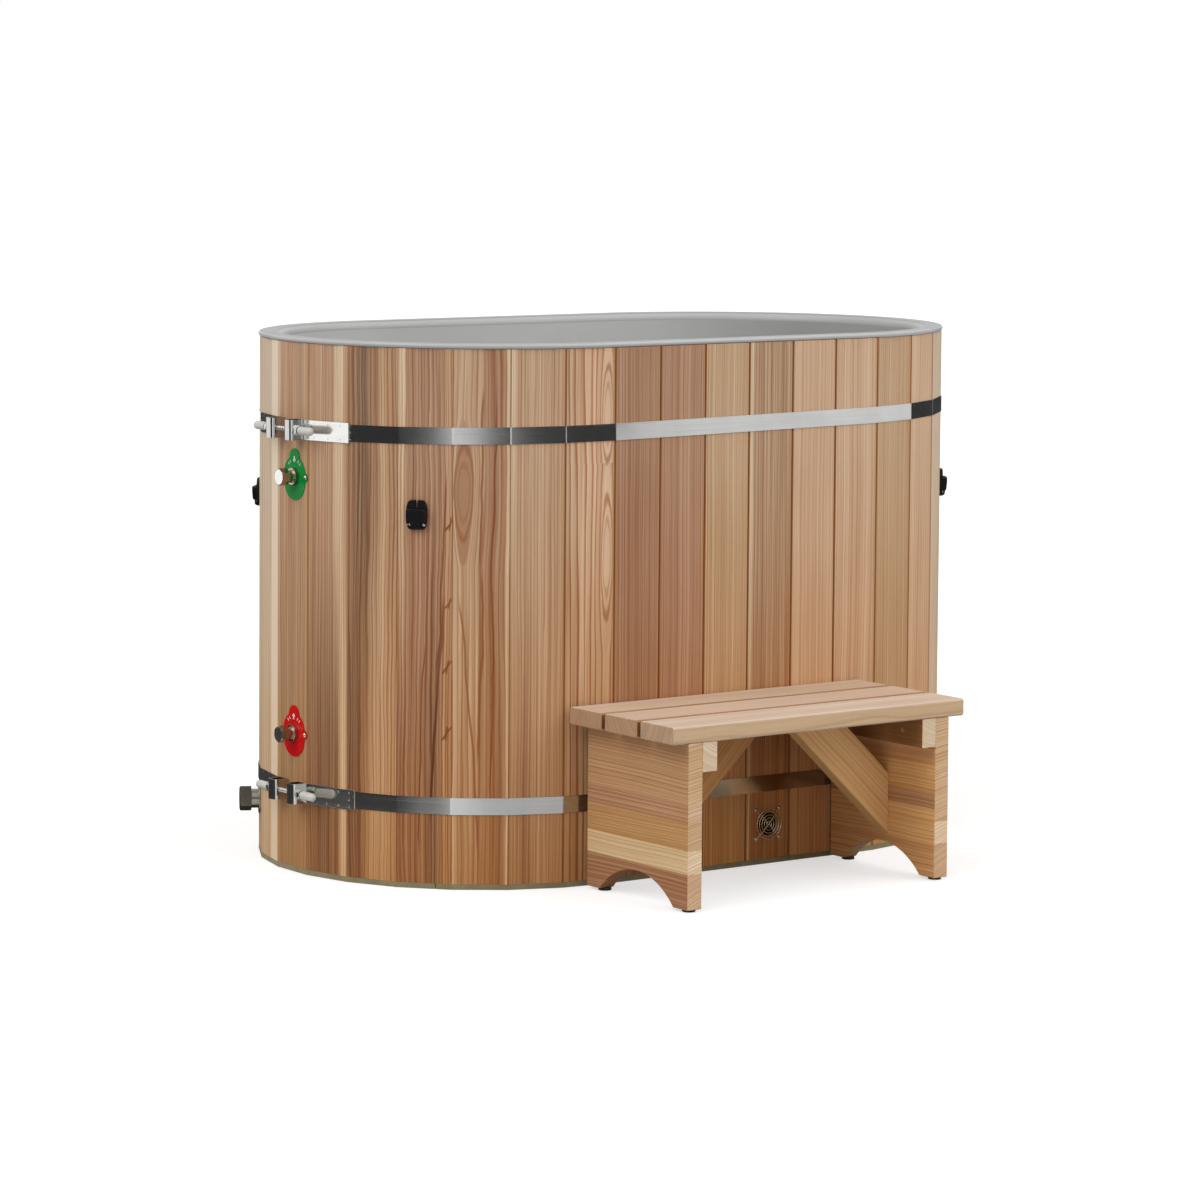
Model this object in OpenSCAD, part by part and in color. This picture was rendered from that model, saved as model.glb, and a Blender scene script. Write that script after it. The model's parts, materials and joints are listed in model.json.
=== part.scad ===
// Oval cedar plunge tub with a moulded liner, two steel bands and a loose wooden step.
// Origin: middle of the tub's footprint on the floor. +X runs along the tub, the front
// faces -Y, +Z is up. All sizes are in millimetres.

/* [Tub] */
// Length over the staves
tub_len = 1303.5; // [1150:0.5:1700]
// Width over the staves
tub_w = 770; // [680:1:860]
// Height of the top of the staves above the floor
stave_top = 895; // [840:1:1000]
// Thickness of a stave
stave_t = 20; // [18:0.5:24]
// Number of staves round the tub
stave_count = 37; // [35:1:40]
// Arc from the middle of the front to the first stave joint, towards -X
first_joint = 266; // [230:1:300]
// Width of the outer bevel at a joint on the straight sides
groove_bevel = 2.3; // [1:0.1:3]
// Width of the outer bevel at a joint on the curved ends
end_bevel = 0.8; // [0.4:0.1:1.5]
// Length of the tongue on a stave's edge
tongue_len = 6; // [4:0.5:8]
// Thickness of the tongue
tongue_t = 6; // [4:0.5:7]
// Gap between neighbouring staves
joint_gap = 0.3; // [0.2:0.05:0.6]

/* [Liner] */
// Width of the flat rim
rim_w = 42; // [40:1:50]
// Thickness of the rim's rolled edge
rim_t = 8.2; // [6:0.1:12]
// How far the rim stands out past the staves
rim_overhang = 1.5; // [0.5:0.1:5]
// Radius of the rim's inner lip
lip_r = 14; // [8:1:20]
// Wall thickness of the liner
liner_t = 5; // [4:0.5:7]
// Draft of the liner's walls, degrees
liner_draft = 1.5; // [0.5:0.1:2.5]
// Inside radius between the wall and the floor of the liner
liner_corner_r = 60; // [30:1:90]
// Thickness of the foam wrap round the liner
foam_t = 9; // [5:0.5:10]

/* [Base] */
// Height of the sill strip that the staves stand on
sill_h = 9; // [6:0.5:14]
// Depth of the joists under the floor board
joist_h = 110; // [100:1:130]
// Width of a joist
joist_w = 38; // [30:1:45]
// Gap between the outer joist and the drain elbow
drain_clear = 13.5; // [8:0.5:30]
// Thickness of the floor board
board_t = 15; // [12:1:20]

/* [Bands] */
// Height of a band
band_h = 28; // [20:0.5:32]
// Thickness of a band
band_t = 1; // [0.8:0.1:1.5]
// Gap between a band and the staves
band_gap = 0.4; // [0.35:0.05:0.6]
// Depth of the middle of the upper band below the top of the staves
upper_band_drop = 136.8; // [115:0.2:155]
// Rise of the upper band towards +X, degrees
band_tilt = 0.67; // [0:0.01:0.8]
// Height of the middle of the lower band
lower_band_z = 139; // [137:0.5:150]
// Height of a band lug
lug_h = 34; // [32:0.5:38]
// Width of a lug's loop along the band
lug_w = 24; // [20:0.5:28]
// How far a lug's loop stands off the staves
lug_reach = 29; // [26:0.5:34]
// Space between the two lugs of a band
lug_space = 36; // [28:0.5:44]
// Sheet thickness of a lug
lug_t = 2; // [1.5:0.1:2.5]
// Length of the plate by which a lug is welded to its band
tail_len = 128; // [90:1:140]
// Diameter of the clamp rod
rod_d = 7.94; // [6:0.02:9]
// Distance of the rod's axis from the staves
rod_off = 17; // [15.5:0.5:18.5]
// Length of the clamp rod
rod_len = 176; // [168:1:190]
// Width across flats of a clamp nut
nut_af = 14.3; // [12.5:0.1:15]
// Thickness of a clamp nut
nut_h = 8; // [6:0.5:9]
// Diameter of the washer under a nut
washer_d = 18; // [16:0.5:22]
// Thickness of that washer
washer_t = 1.6; // [1:0.1:2.5]
// Rise of the nut's thread in one turn
nut_pitch = 1.41; // [1:0.01:1.75]
// Turns that a nut backs off before it meets the rod's cap
nut_turns = 2; // [1:0.5:3]
// Diameter of a rod cap
rod_cap_d = 14; // [12:0.5:16]
// Shift of the upper clamp along its stave
upper_clamp_shift = -3; // [-6:0.5:6]
// Shift of the lower clamp along its stave
lower_clamp_shift = 7; // [0:0.5:12]

/* [Wall fittings] */
// Depth of the inlet below the top of the staves
inlet_drop = 225; // [205:1:255]
// Height of the outlet
outlet_z = 236; // [225:1:300]
// Shift of the inlet and the outlet along their stave
port_shift = 7; // [0:0.5:8]
// Outer diameter of the threaded port pipe
port_d = 20.95; // [18:0.05:24]
// Bore of the port pipe
port_bore = 15; // [12:0.5:16]
// How far the port pipe stands out of the stave
port_reach = 26.5; // [24:0.5:32]
// Width across flats of a port cap
port_cap_af = 25; // [24:0.5:32]
// Length of a port cap
port_cap_len = 15; // [13:0.5:17]
// Half width of a port's name plate
plate_r = 34.5; // [30:0.5:36]
// Thickness of a name plate
plate_t = 1.5; // [1:0.1:3]
// Height of the drain
drain_z = 95; // [92:1:97]
// Outer diameter of the threaded drain pipe
drain_d = 33.25; // [30:0.05:36]
// Bore of the drain pipe
drain_bore = 26; // [20:0.5:27]
// How far the drain pipe stands out of the stave
drain_reach = 30; // [28:0.5:34]
// Width across flats of the drain cap
drain_cap_af = 37; // [37:0.5:42]
// Length of the drain cap
drain_cap_len = 20; // [18:0.5:22]
// Radius of the drain's outer flange
drain_flange_r = 26; // [24:0.5:27]
// Distance from the stave to the drain in the floor
drain_run = 190; // [180:1:200]

/* [Vent and clips] */
// Height of the vent
vent_z = 69; // [60:1:72]
// Diameter of the vent hole
vent_d = 40; // [30:1:44]
// Distance between the screws of the vent guard
vent_screw_pitch = 50; // [48:0.5:56]
// Wire diameter of the vent guard
vent_wire_d = 1.6; // [1.2:0.1:2]
// Depth of the middle of a cover clip below the top of the staves
clip_drop = 274; // [255:1:335]
// Arc from the middle of a long side to a cover clip
clip_arc = 609; // [600:1:620]
// Width of a cover clip
clip_w = 36; // [32:0.5:40]
// Height of a cover clip
clip_h = 49; // [44:0.5:54]
// Thickness of a cover clip
clip_t = 8; // [7:0.5:10]

/* [Step] */
// Length of the step's top
step_len = 614; // [560:1:640]
// Height of the step
step_h = 304; // [280:1:330]
// Width of a top board
tread_w = 88.9; // [80:0.1:95]
// Thickness of the step's boards
tread_t = 29; // [25:0.5:32]
// Gap between the top boards
tread_gap = 8; // [5:0.5:10]
// Gap between the step and the staves
step_gap = 2.3; // [2:0.1:12]
// Distance of the step's middle from the tub's middle, towards -X
step_shift = 50.6; // [0:0.2:100]
// Overhang of the top past a side panel
step_inset = 32; // [20:0.5:40]
// Height of the arch under a side panel
arch_h = 45; // [25:1:50]
// Span of the arch
arch_span = 200; // [170:1:200]
// Width of a brace
brace_w = 76; // [60:1:85]
// Slope of a brace, degrees
brace_slope = 43; // [40:0.5:47]
// Height at which a brace meets its side panel
brace_z = 63; // [55:1:70]
// Height of a cleat
cleat_h = 48; // [40:1:55]
// Height of a foot pad
pad_h = 4; // [3:0.5:6]
// Diameter of a foot pad
pad_d = 22; // [16:1:26]

/* [Hidden] */
$fn = 64;
seat = 0.3;       // gap where one piece rests on another
thread_fit = 0.05; // radial clearance of a thread
touch = 0.05;     // gap between faces that bear on each other

// The tub's outline: straight sides and half-round ends
end_r = tub_w / 2;
straight = tub_len - tub_w;
half_turn = PI * end_r;
outline_len = 2 * straight + 2 * half_turn;
stave_pitch = outline_len / stave_count;

// Point at arc s from the middle of the front, counted towards +X and on round the tub
function wrap(s) = s - outline_len * floor(s / outline_len);
function turn(s) = s / end_r * 180 / PI;
function outline(s0) =
    let (s = wrap(s0), a1 = s - straight / 2, a2 = a1 - half_turn, a3 = a2 - straight,
         a4 = a3 - half_turn)
    a1 < 0 ? [s, -end_r]
    : a2 < 0 ? [straight / 2 + end_r * sin(turn(a1)), -end_r * cos(turn(a1))]
    : a3 < 0 ? [straight / 2 - a2, end_r]
    : a4 < 0 ? [-straight / 2 - end_r * sin(turn(a3)), end_r * cos(turn(a3))]
    : [-straight / 2 + a4, -end_r];

// Joints between staves, the faces between them and the mitre at each joint
function idx(i) = i - stave_count * floor(i / stave_count);
joint_at = [for (i = [0:stave_count - 1]) outline(i * stave_pitch - first_joint)];
function joint_p(i) = joint_at[idx(i)];
function unit(v) = v / norm(v);
face_dirs = [for (i = [0:stave_count - 1]) unit(joint_p(i + 1) - joint_p(i))];
function along(i) = face_dirs[idx(i)];
function out(i) = [along(i)[1], -along(i)[0]];
function mitre(i) = (out(i - 1) + out(i)) / (1 + out(i - 1) * out(i));
function bevel(i) = out(i - 1) * out(i) > 0.9995 ? groove_bevel : end_bevel;
function ring(d) = [for (i = [0:stave_count - 1]) joint_p(i) + d * mitre(i)];
// A point at joint i: a along the joint's own tangent, w deep into the wood
function joint_pt(i, a, w) = joint_p(i) + a * unit(along(i - 1) + along(i)) - w * mitre(i);

// Stave that holds arc s, and the shift of s from that stave's middle
function stave_of(s) = idx(floor(wrap(s + first_joint) / stave_pitch));
function shift_on(s) = wrap(s + first_joint) - (stave_of(s) + 0.5) * stave_pitch;
function face_mid(i) = (joint_p(i) + joint_p(i + 1)) / 2;
function face_turn(i) = atan2(along(i)[1], along(i)[0]);

end_stave = stave_of(-straight / 2 - half_turn / 2);
drain_stave = idx(end_stave - 2);
vent_stave = stave_of(62);
clip_edge = (stave_pitch - clip_w) / 2 - 4;
clip_arcs = [-clip_arc, clip_arc, outline_len / 2 - clip_arc, outline_len / 2 + clip_arc];
function clip_shift(s) = min(clip_edge, max(-clip_edge, shift_on(s)));

// Heights
upper_band_z = stave_top - upper_band_drop;
inlet_z = stave_top - inlet_drop;
clip_z = stave_top - clip_drop;
board_z = sill_h + joist_h;
liner_z = board_z + board_t + seat;
rim_z = stave_top + seat;
rim_top = rim_z + rim_t;
liner_floor_t = liner_t + 1;

// Liner profile
rim_r = end_r + rim_overhang;
wall_r = rim_r - rim_w;
function wall_at(z) = wall_r - (rim_top - z) * tan(liner_draft);

// Board and panel positions of the step
step_d = 3 * tread_w + 2 * tread_gap;
step_back = -end_r - step_gap;
step_front = step_back - step_d;
step_mid = step_front + step_d / 2;
step_left = -step_shift - step_len / 2;
step_right = -step_shift + step_len / 2;
tread_z = step_h - tread_t;
panel_in = step_inset + tread_t;
panel_front = 1;
panel_back = 8;
panel_d = step_d - panel_front - panel_back;

// Local frame on stave i: +X along the face, -Y out of it, z up
module at_face(i, shift = 0, z = 0)
    translate([face_mid(i)[0] + along(i)[0] * shift, face_mid(i)[1] + along(i)[1] * shift, z])
        rotate([0, 0, face_turn(i)]) children();
module at_inlet() at_face(end_stave, port_shift, inlet_z) children();
module at_outlet() at_face(end_stave, port_shift, outlet_z) children();
module at_drain() at_face(drain_stave, 0, drain_z) children();
module at_vent() at_face(vent_stave, 0, vent_z) children();
module at_clips()
    for (s = clip_arcs) at_face(stave_of(s), clip_shift(s), clip_z) children();
module upper_frame() translate([0, 0, upper_band_z]) rotate([0, -band_tilt, 0]) children();
module lower_frame() translate([0, 0, lower_band_z]) children();
module upper_clamp() upper_frame() at_face(end_stave, upper_clamp_shift) children();
module lower_clamp() lower_frame() at_face(end_stave, lower_clamp_shift) children();

// A cylinder from y0 out to y1 along the local -Y axis
module out_cyl(r, y0, y1, fn = 64) translate([0, -y0, 0]) rotate([90, 0, 0]) cylinder(r = r, h = y1 - y0, $fn = fn);

// Stadium shapes
module stadium(r) {
    for (sx = [-1, 1]) translate([sx * straight / 2, 0]) circle(r, $fn = 128);
    square([straight, 2 * r], center = true);
}
module stadium_ring(r_out, r_in, h) linear_extrude(h) difference() {
    stadium(r_out);
    stadium(r_in);
}

// Liner
function arc(cx, cz, r, a0, a1, n) =
    [for (k = [0:n]) let (a = a0 + (a1 - a0) * k / n) [cx + r * cos(a), cz + r * sin(a)]];
function liner_outer_profile() =
    let (corner = liner_corner_r + liner_t, cz = liner_z + corner,
         cx = wall_at(cz) + liner_t - corner, edge = rim_t / 2)
    concat([[0, liner_z]], arc(cx, cz, corner, -90, 0, 8),
        [[wall_r + liner_t, rim_z]],
        arc(rim_r - edge, rim_z + edge, edge, -90, 90, 8),
        [[0, rim_top]]);
function liner_hollow_profile() =
    let (cz = liner_z + liner_floor_t + liner_corner_r, cx = wall_at(cz) - liner_corner_r)
    concat([[0, liner_z + liner_floor_t]],
        arc(cx, cz, liner_corner_r, -90, 0, 8),
        arc(wall_r + lip_r, rim_top - lip_r, lip_r, 180, 90, 6),
        [[0, rim_top]]);
module liner_section() difference() {
    polygon(liner_outer_profile());
    polygon(concat(liner_hollow_profile(), [[wall_r + lip_r, rim_top + 1], [0, rim_top + 1]]));
}
module liner_shell() {
    for (side = [0, 1]) rotate([0, 0, 180 * side]) translate([straight / 2, 0, 0])
        rotate([0, 0, -90]) rotate_extrude(angle = 180, $fn = 128) liner_section();
    for (side = [0, 1]) rotate([0, 0, 180 * side]) translate([-straight / 2, 0, 0])
        rotate([90, 0, 90]) linear_extrude(straight) liner_section();
}
module liner() color([0.66, 0.66, 0.65]) difference() {
    liner_shell();
    at_inlet() out_cyl(port_d / 2 + seat, -120, 0);
    at_outlet() out_cyl(port_d / 2 + seat, -120, 0);
    at_drain() translate([0, drain_run, liner_z - drain_z - 1])
        cylinder(r = drain_d / 2 + seat, h = liner_floor_t + 2);
}

// Foam between the liner and the staves, with the ports cut through it
foam_r = end_r * cos(turn(stave_pitch / 2)) - stave_t - 0.8;
module foam_wrap() color([0.35, 0.37, 0.4]) difference() {
    translate([0, 0, board_z + board_t]) stadium_ring(foam_r, foam_r - foam_t, rim_z - 20 - board_z - board_t);
    at_inlet() out_cyl(port_d / 2 + seat, -80, 0);
    at_outlet() out_cyl(port_d / 2 + seat, -80, 0);
}

// Floor, joists and base
floor_r = foam_r;
module floor_board() color([0.72, 0.58, 0.4]) difference() {
    translate([0, 0, board_z]) linear_extrude(board_t) stadium(floor_r);
    at_drain() translate([0, drain_run, board_z - drain_z - 1])
        cylinder(r = drain_d / 2 + seat, h = board_t + 2);
}
elbow_r = 22;
drain_x = face_mid(drain_stave)[0] - drain_run * out(drain_stave)[0];
joist_pitch = (-drain_x - elbow_r - drain_clear - joist_w / 2) / 2;
function half_span(x, r) = sqrt(r * r - pow(max(0, abs(x) - straight / 2), 2));
module joists() color([0.62, 0.46, 0.3]) for (k = [-2:2])
    let (x = k * joist_pitch, half = half_span(abs(x) + joist_w / 2, floor_r))
    translate([x - joist_w / 2, -half, sill_h]) cube([joist_w, 2 * half, joist_h]);
module base_plate() color([0.3, 0.3, 0.28]) linear_extrude(sill_h) stadium(foam_r - 2);
module sill_strip() color([0.45, 0.45, 0.38]) difference() {
    linear_extrude(sill_h - touch) difference() {
        polygon(ring(0));
        polygon(ring(-stave_t));
    }
    at_face(stave_of(-622)) translate([20, -10, -1]) cube([1, 40, sill_h + 2]);
}

// Staves
tongue_w0 = (stave_t - tongue_t) / 2;
tongue_w1 = tongue_w0 + tongue_t;
function stave_profile(i) =
    let (c = joint_gap / 2, g = joint_gap, j = i + 1)
    [joint_p(i) + bevel(i) * along(i), joint_pt(i, c, bevel(i)),
     joint_pt(i, c, tongue_w0 - g), joint_pt(i, tongue_len + g, tongue_w0 - g),
     joint_pt(i, tongue_len + g, tongue_w1 + g), joint_pt(i, c, tongue_w1 + g),
     joint_pt(i, c, stave_t), joint_pt(j, -c, stave_t),
     joint_pt(j, -c, tongue_w1), joint_pt(j, tongue_len, tongue_w1),
     joint_pt(j, tongue_len, tongue_w0), joint_pt(j, -c, tongue_w0),
     joint_pt(j, -c, bevel(j)), joint_p(j) - bevel(j) * along(i)];
module stave(i) translate([0, 0, sill_h]) linear_extrude(stave_top - sill_h) polygon(stave_profile(i));
// Side of the tub that stave i belongs to: 0 front, 1 right end, 2 back, 3 left end
function side_of(i) = abs(out(i)[0]) < 0.12 ? (out(i)[1] < 0 ? 0 : 2) : (out(i)[0] > 0 ? 1 : 3);
module stave_group(side) difference() {
    for (i = [0:stave_count - 1]) if (side_of(i) == side) stave(i);
    if (side == 3) {
        at_inlet() out_cyl(port_d / 2 + seat, -stave_t - 5, 5);
        at_outlet() out_cyl(port_d / 2 + seat, -stave_t - 5, 5);
        at_drain() out_cyl(drain_d / 2 + seat, -stave_t - 5, 5);
        at_plate_screws() pilot();
    }
    if (side == 0) {
        at_vent() out_cyl(vent_d / 2, -stave_t - 5, 5);
        at_vent_screws() pilot();
    }
    at_clip_screws() pilot();
}
module staves_front() color([0.76, 0.56, 0.4]) stave_group(0);
module staves_right_end() color([0.78, 0.6, 0.44]) stave_group(1);
module staves_back() color([0.74, 0.55, 0.4]) stave_group(2);
module staves_left_end() color([0.72, 0.52, 0.37]) stave_group(3);

// Screws: a domed head, and a shank in its pilot hole
screw_r = 1.9;
head_r = 3.8;
head_h = 2.2;
shank_len = 14;
module pilot() out_cyl(screw_r + thread_fit, -shank_len - 1, 2, 24);
module screw(y) {
    out_cyl(screw_r, -shank_len, y + 0.5, 24);
    translate([0, -y, 0]) rotate([90, 0, 0]) rotate_extrude($fn = 32)
        polygon(concat([[0, 0], [head_r, 0]], [for (a = [20:20:80]) [head_r * cos(a), head_h * sin(a)]],
            [[0, head_h]]));
}

// Bands
module band(d0, d1, h) translate([0, 0, -h / 2]) linear_extrude(h) difference() {
    polygon(ring(d1));
    polygon(ring(d0));
}
lug_in = lug_space / 2;
lug_out = lug_in + lug_w;
module steel_band(shift) difference() {
    band(band_gap, band_gap + band_t, band_h);
    at_face(end_stave, shift) translate([-lug_in - 2, -20, -band_h]) cube([2 * lug_in + 4, 30, 2 * band_h]);
}
module upper_band() color([0.75, 0.75, 0.76]) upper_frame() steel_band(upper_clamp_shift);
module lower_band() color([0.72, 0.72, 0.73]) lower_frame() steel_band(lower_clamp_shift);

// Lugs: a rounded loop formed on a plate that lies on the band
lug_y0 = band_gap + band_t + touch;
lug_bend = 8;
lug_sink = 0.5; // how far a loop sits in its plate
module rounded_box(w, d, r) {
    translate([0, 0]) square([w, d - r]);
    translate([r, d - r]) square([w - 2 * r, r]);
    for (x = [r, w - r]) translate([x, d - r]) circle(r, $fn = 48);
}
module lug(side) {
    depth = lug_reach - lug_y0 - lug_sink;
    difference() {
        translate([side > 0 ? lug_in : -lug_out, -lug_y0 - lug_sink, -lug_h / 2]) mirror([0, 1, 0])
            linear_extrude(lug_h) difference() {
                rounded_box(lug_w, depth, lug_bend);
                translate([lug_t, lug_t]) rounded_box(lug_w - 2 * lug_t, depth - 2 * lug_t, lug_bend - lug_t);
            }
        translate([side * (lug_in - 1), -rod_off, 0]) rotate([0, side * 90, 0])
            cylinder(d = rod_d + 0.8, h = lug_w + 2, $fn = 48);
    }
}
tail_t = 1.2;
module lugs(shift) {
    for (side = [-1, 1]) {
        at_face(end_stave, shift) lug(side);
        intersection() {
            band(lug_y0, lug_y0 + tail_t, lug_h - lug_sink);
            at_face(end_stave, shift)
                translate([side > 0 ? lug_in + lug_sink : -lug_in - tail_len, -20, -lug_h])
                    cube([tail_len - lug_sink, 160, 2 * lug_h]);
        }
    }
}
module upper_lugs() color([0.8, 0.8, 0.8]) upper_frame() lugs(upper_clamp_shift);
module lower_lugs() color([0.7, 0.7, 0.7]) lower_frame() lugs(lower_clamp_shift);

// Rods, their caps, washers and nuts
module along_rod(side, x) translate([side * x, -rod_off, 0]) rotate([0, side * 90, 0]) children();
nut_x = lug_out + touch + washer_t + touch;
rod_cap_x = nut_x + nut_h + nut_turns * nut_pitch + seat;
module rod() along_rod(1, -rod_len / 2) cylinder(d = rod_d, h = rod_len, $fn = 48);
module clamp_rods() color([0.6, 0.6, 0.6]) {
    upper_clamp() rod();
    lower_clamp() rod();
}
module rod_cap(side) along_rod(side, rod_cap_x) difference() {
    body = rod_len / 2 - rod_cap_x + 3 - rod_cap_d / 2;
    union() {
        cylinder(d = rod_cap_d, h = body, $fn = 48);
        translate([0, 0, body]) sphere(d = rod_cap_d, $fn = 48);
    }
    translate([0, 0, -1]) cylinder(r = rod_d / 2 + thread_fit, h = rod_len / 2 - rod_cap_x + 1.1, $fn = 48);
}
module rod_caps() color([0.93, 0.93, 0.9]) for (side = [-1, 1]) {
    upper_clamp() rod_cap(side);
    lower_clamp() rod_cap(side);
}
module washer(side) along_rod(side, lug_out + touch) difference() {
    cylinder(d = washer_d, h = washer_t, $fn = 48);
    translate([0, 0, -1]) cylinder(r = rod_d / 2 + thread_fit, h = washer_t + 2, $fn = 48);
}
module upper_washer_front() color([0.7, 0.7, 0.7]) upper_clamp() washer(1);
module upper_washer_back() color([0.7, 0.7, 0.7]) upper_clamp() washer(-1);
module lower_washer_front() color([0.7, 0.7, 0.7]) lower_clamp() washer(1);
module lower_washer_back() color([0.7, 0.7, 0.7]) lower_clamp() washer(-1);

// A hexagon of width af with its corners chamfered at the outer end
module hex_body(af, h, lower_chamfer = false) intersection() {
    cylinder(r = af / 2 / cos(30), h = h, $fn = 6);
    let (r = af / 2 / cos(30) + 0.01, c = (r - af / 2) * 0.9)
        rotate_extrude($fn = 64)
            polygon([[0, 0], [lower_chamfer ? r - c : r, 0], [r, lower_chamfer ? c * 0.58 : 0.001],
                [r, h - c * 0.58], [r - c, h], [0, h]]);
}
module nut(side) along_rod(side, nut_x) difference() {
    hex_body(nut_af, nut_h, true);
    translate([0, 0, -1]) cylinder(r = rod_d / 2 + thread_fit, h = nut_h + 2, $fn = 48);
}
module upper_nut_front() color([0.75, 0.75, 0.75]) upper_clamp() nut(1);
module upper_nut_back() color([0.75, 0.75, 0.75]) upper_clamp() nut(-1);
module lower_nut_front() color([0.75, 0.75, 0.75]) lower_clamp() nut(1);
module lower_nut_back() color([0.75, 0.75, 0.75]) lower_clamp() nut(-1);

// Name plates of the ports: a round plate with a lobe above and an ear on each side
plate_drop = 6;
lobe_r = 16;
ear_r = 7;
plate_top = 47;
module plate_shape() {
    circle(plate_r, $fn = 96);
    translate([0, -plate_drop]) circle(plate_r - 0.5, $fn = 96);
    translate([0, plate_top - lobe_r]) circle(lobe_r, $fn = 48);
    for (sx = [-1, 1]) translate([sx * plate_r, 0]) circle(ear_r, $fn = 48);
}
module port_plate() translate([0, -touch, 0]) rotate([90, 0, 0]) linear_extrude(plate_t) difference() {
    plate_shape();
    circle(port_d / 2 + seat, $fn = 64);
    for (sx = [-1, 1]) translate([sx * plate_r, 0]) circle(screw_r + seat, $fn = 24);
}
module inlet_plate() color([0.1, 0.55, 0.28]) at_inlet() port_plate();
module outlet_plate() color([0.75, 0.08, 0.08]) at_outlet() port_plate();
module at_plate_screws() for (sx = [-1, 1]) {
    at_inlet() translate([sx * plate_r, 0, 0]) children();
    at_outlet() translate([sx * plate_r, 0, 0]) children();
}
module plate_screws() color([0.8, 0.8, 0.8]) at_plate_screws() screw(plate_t + 2 * touch);

// Port pipes run from outside the stave to inside the liner
function stave_face_r() = end_r * cos(turn(stave_pitch / 2));
function liner_depth(z) = stave_face_r() - wall_at(z);
collar_r = 14.5;
collar_y = 8;
module port_pipe(z) difference() {
    union() {
        out_cyl(port_d / 2, -liner_depth(z) - 12, port_reach);
        out_cyl(collar_r, plate_t + 2 * touch, collar_y);
    }
    out_cyl(port_bore / 2, -liner_depth(z) - 13, port_reach + 1);
}
module inlet_pipe() color([0.72, 0.7, 0.66]) at_inlet() port_pipe(inlet_z);
module outlet_pipe() color([0.72, 0.7, 0.66]) at_outlet() port_pipe(outlet_z);

// Caps with a rubber seal inside
seal_t = 1.5;
module seal(d, reach) out_cyl(d / 2 - 0.5, reach + touch, reach + touch + seal_t);
module screw_cap(d, reach, af, len) {
    end = reach + 2 * touch + seal_t;
    difference() {
        translate([0, -(end + 4 - len), 0]) rotate([90, 0, 0]) rotate([0, 0, 30]) hex_body(af, len);
        out_cyl(d / 2 + thread_fit, end + 3 - len, end);
    }
}
module inlet_seal() color([0.1, 0.1, 0.1]) at_inlet() seal(port_d, port_reach);
module outlet_seal() color([0.1, 0.1, 0.1]) at_outlet() seal(port_d, port_reach);
module drain_seal() color([0.1, 0.1, 0.1]) at_drain() seal(drain_d, drain_reach);
module inlet_cap() color([0.82, 0.82, 0.82]) at_inlet() screw_cap(port_d, port_reach, port_cap_af, port_cap_len);
module outlet_cap() color([0.82, 0.82, 0.82]) at_outlet() screw_cap(port_d, port_reach, port_cap_af, port_cap_len);
module drain_cap() color([0.5, 0.47, 0.42]) at_drain() screw_cap(drain_d, drain_reach, drain_cap_af, drain_cap_len);

// Fittings inside the liner
jet_r = 30;
jet_t = 6;
function jet_y(z) = -(liner_depth(z) + jet_r * jet_r / 2 / wall_at(z) + jet_r * tan(liner_draft) + seat);
module wall_disc(z) out_cyl(jet_r, jet_y(z) - jet_t, jet_y(z));
module return_jet() color([0.86, 0.86, 0.85]) at_inlet() difference() {
    union() {
        wall_disc(inlet_z);
        out_cyl(17, jet_y(inlet_z) - jet_t - 8, jet_y(inlet_z));
    }
    out_cyl(port_d / 2 + thread_fit, -liner_depth(inlet_z) - 13, 0);
    out_cyl(7, -liner_depth(inlet_z) - 40, 0);
}
module suction_strainer() color([0.86, 0.86, 0.85]) at_outlet() difference() {
    union() {
        wall_disc(outlet_z);
        translate([0, -jet_y(outlet_z) + jet_t - 0.5, 0]) rotate([-90, 0, 0]) rotate_extrude($fn = 64)
            polygon([[0, 0], [26, 0], [24, 8], [19, 12], [0, 12]]);
    }
    out_cyl(port_d / 2 + thread_fit, -liner_depth(outlet_z) - 13, 0);
    for (k = [-2:2]) translate([k * 6.5 - 1.6, -jet_y(outlet_z) + jet_t + 6, -14])
        cube([3.2, 20, 28]);
}

// Drain
module drain_flange() color([0.45, 0.4, 0.33]) at_drain() difference() {
    out_cyl(drain_flange_r, touch, 3);
    out_cyl(drain_d / 2 + seat, -1, 4);
}
elbow_reach = 34;
module drain_pipe() color([0.5, 0.47, 0.42]) at_drain() difference() {
    out_cyl(drain_d / 2, -(drain_run - elbow_r - 2), drain_reach);
    out_cyl(drain_bore / 2, -drain_run, drain_reach + 1);
}
module drain_elbow() color([0.85, 0.85, 0.83]) at_drain() difference() {
    union() {
        out_cyl(elbow_r, -drain_run, -(drain_run - elbow_reach));
        translate([0, drain_run, 0]) sphere(r = elbow_r, $fn = 64);
        translate([0, drain_run, 0]) cylinder(r = elbow_r, h = board_z - drain_z - seat);
    }
    out_cyl(drain_bore / 2, -drain_run, 0);
    out_cyl(drain_d / 2 + thread_fit, -(drain_run - elbow_r - 1.5), 0);
    translate([0, drain_run, 0]) sphere(r = drain_bore / 2, $fn = 64);
    translate([0, drain_run, 0]) cylinder(r = drain_bore / 2, h = 60);
    translate([0, drain_run, board_z - drain_z - 14]) cylinder(r = drain_d / 2 + thread_fit, h = 20);
}
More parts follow.
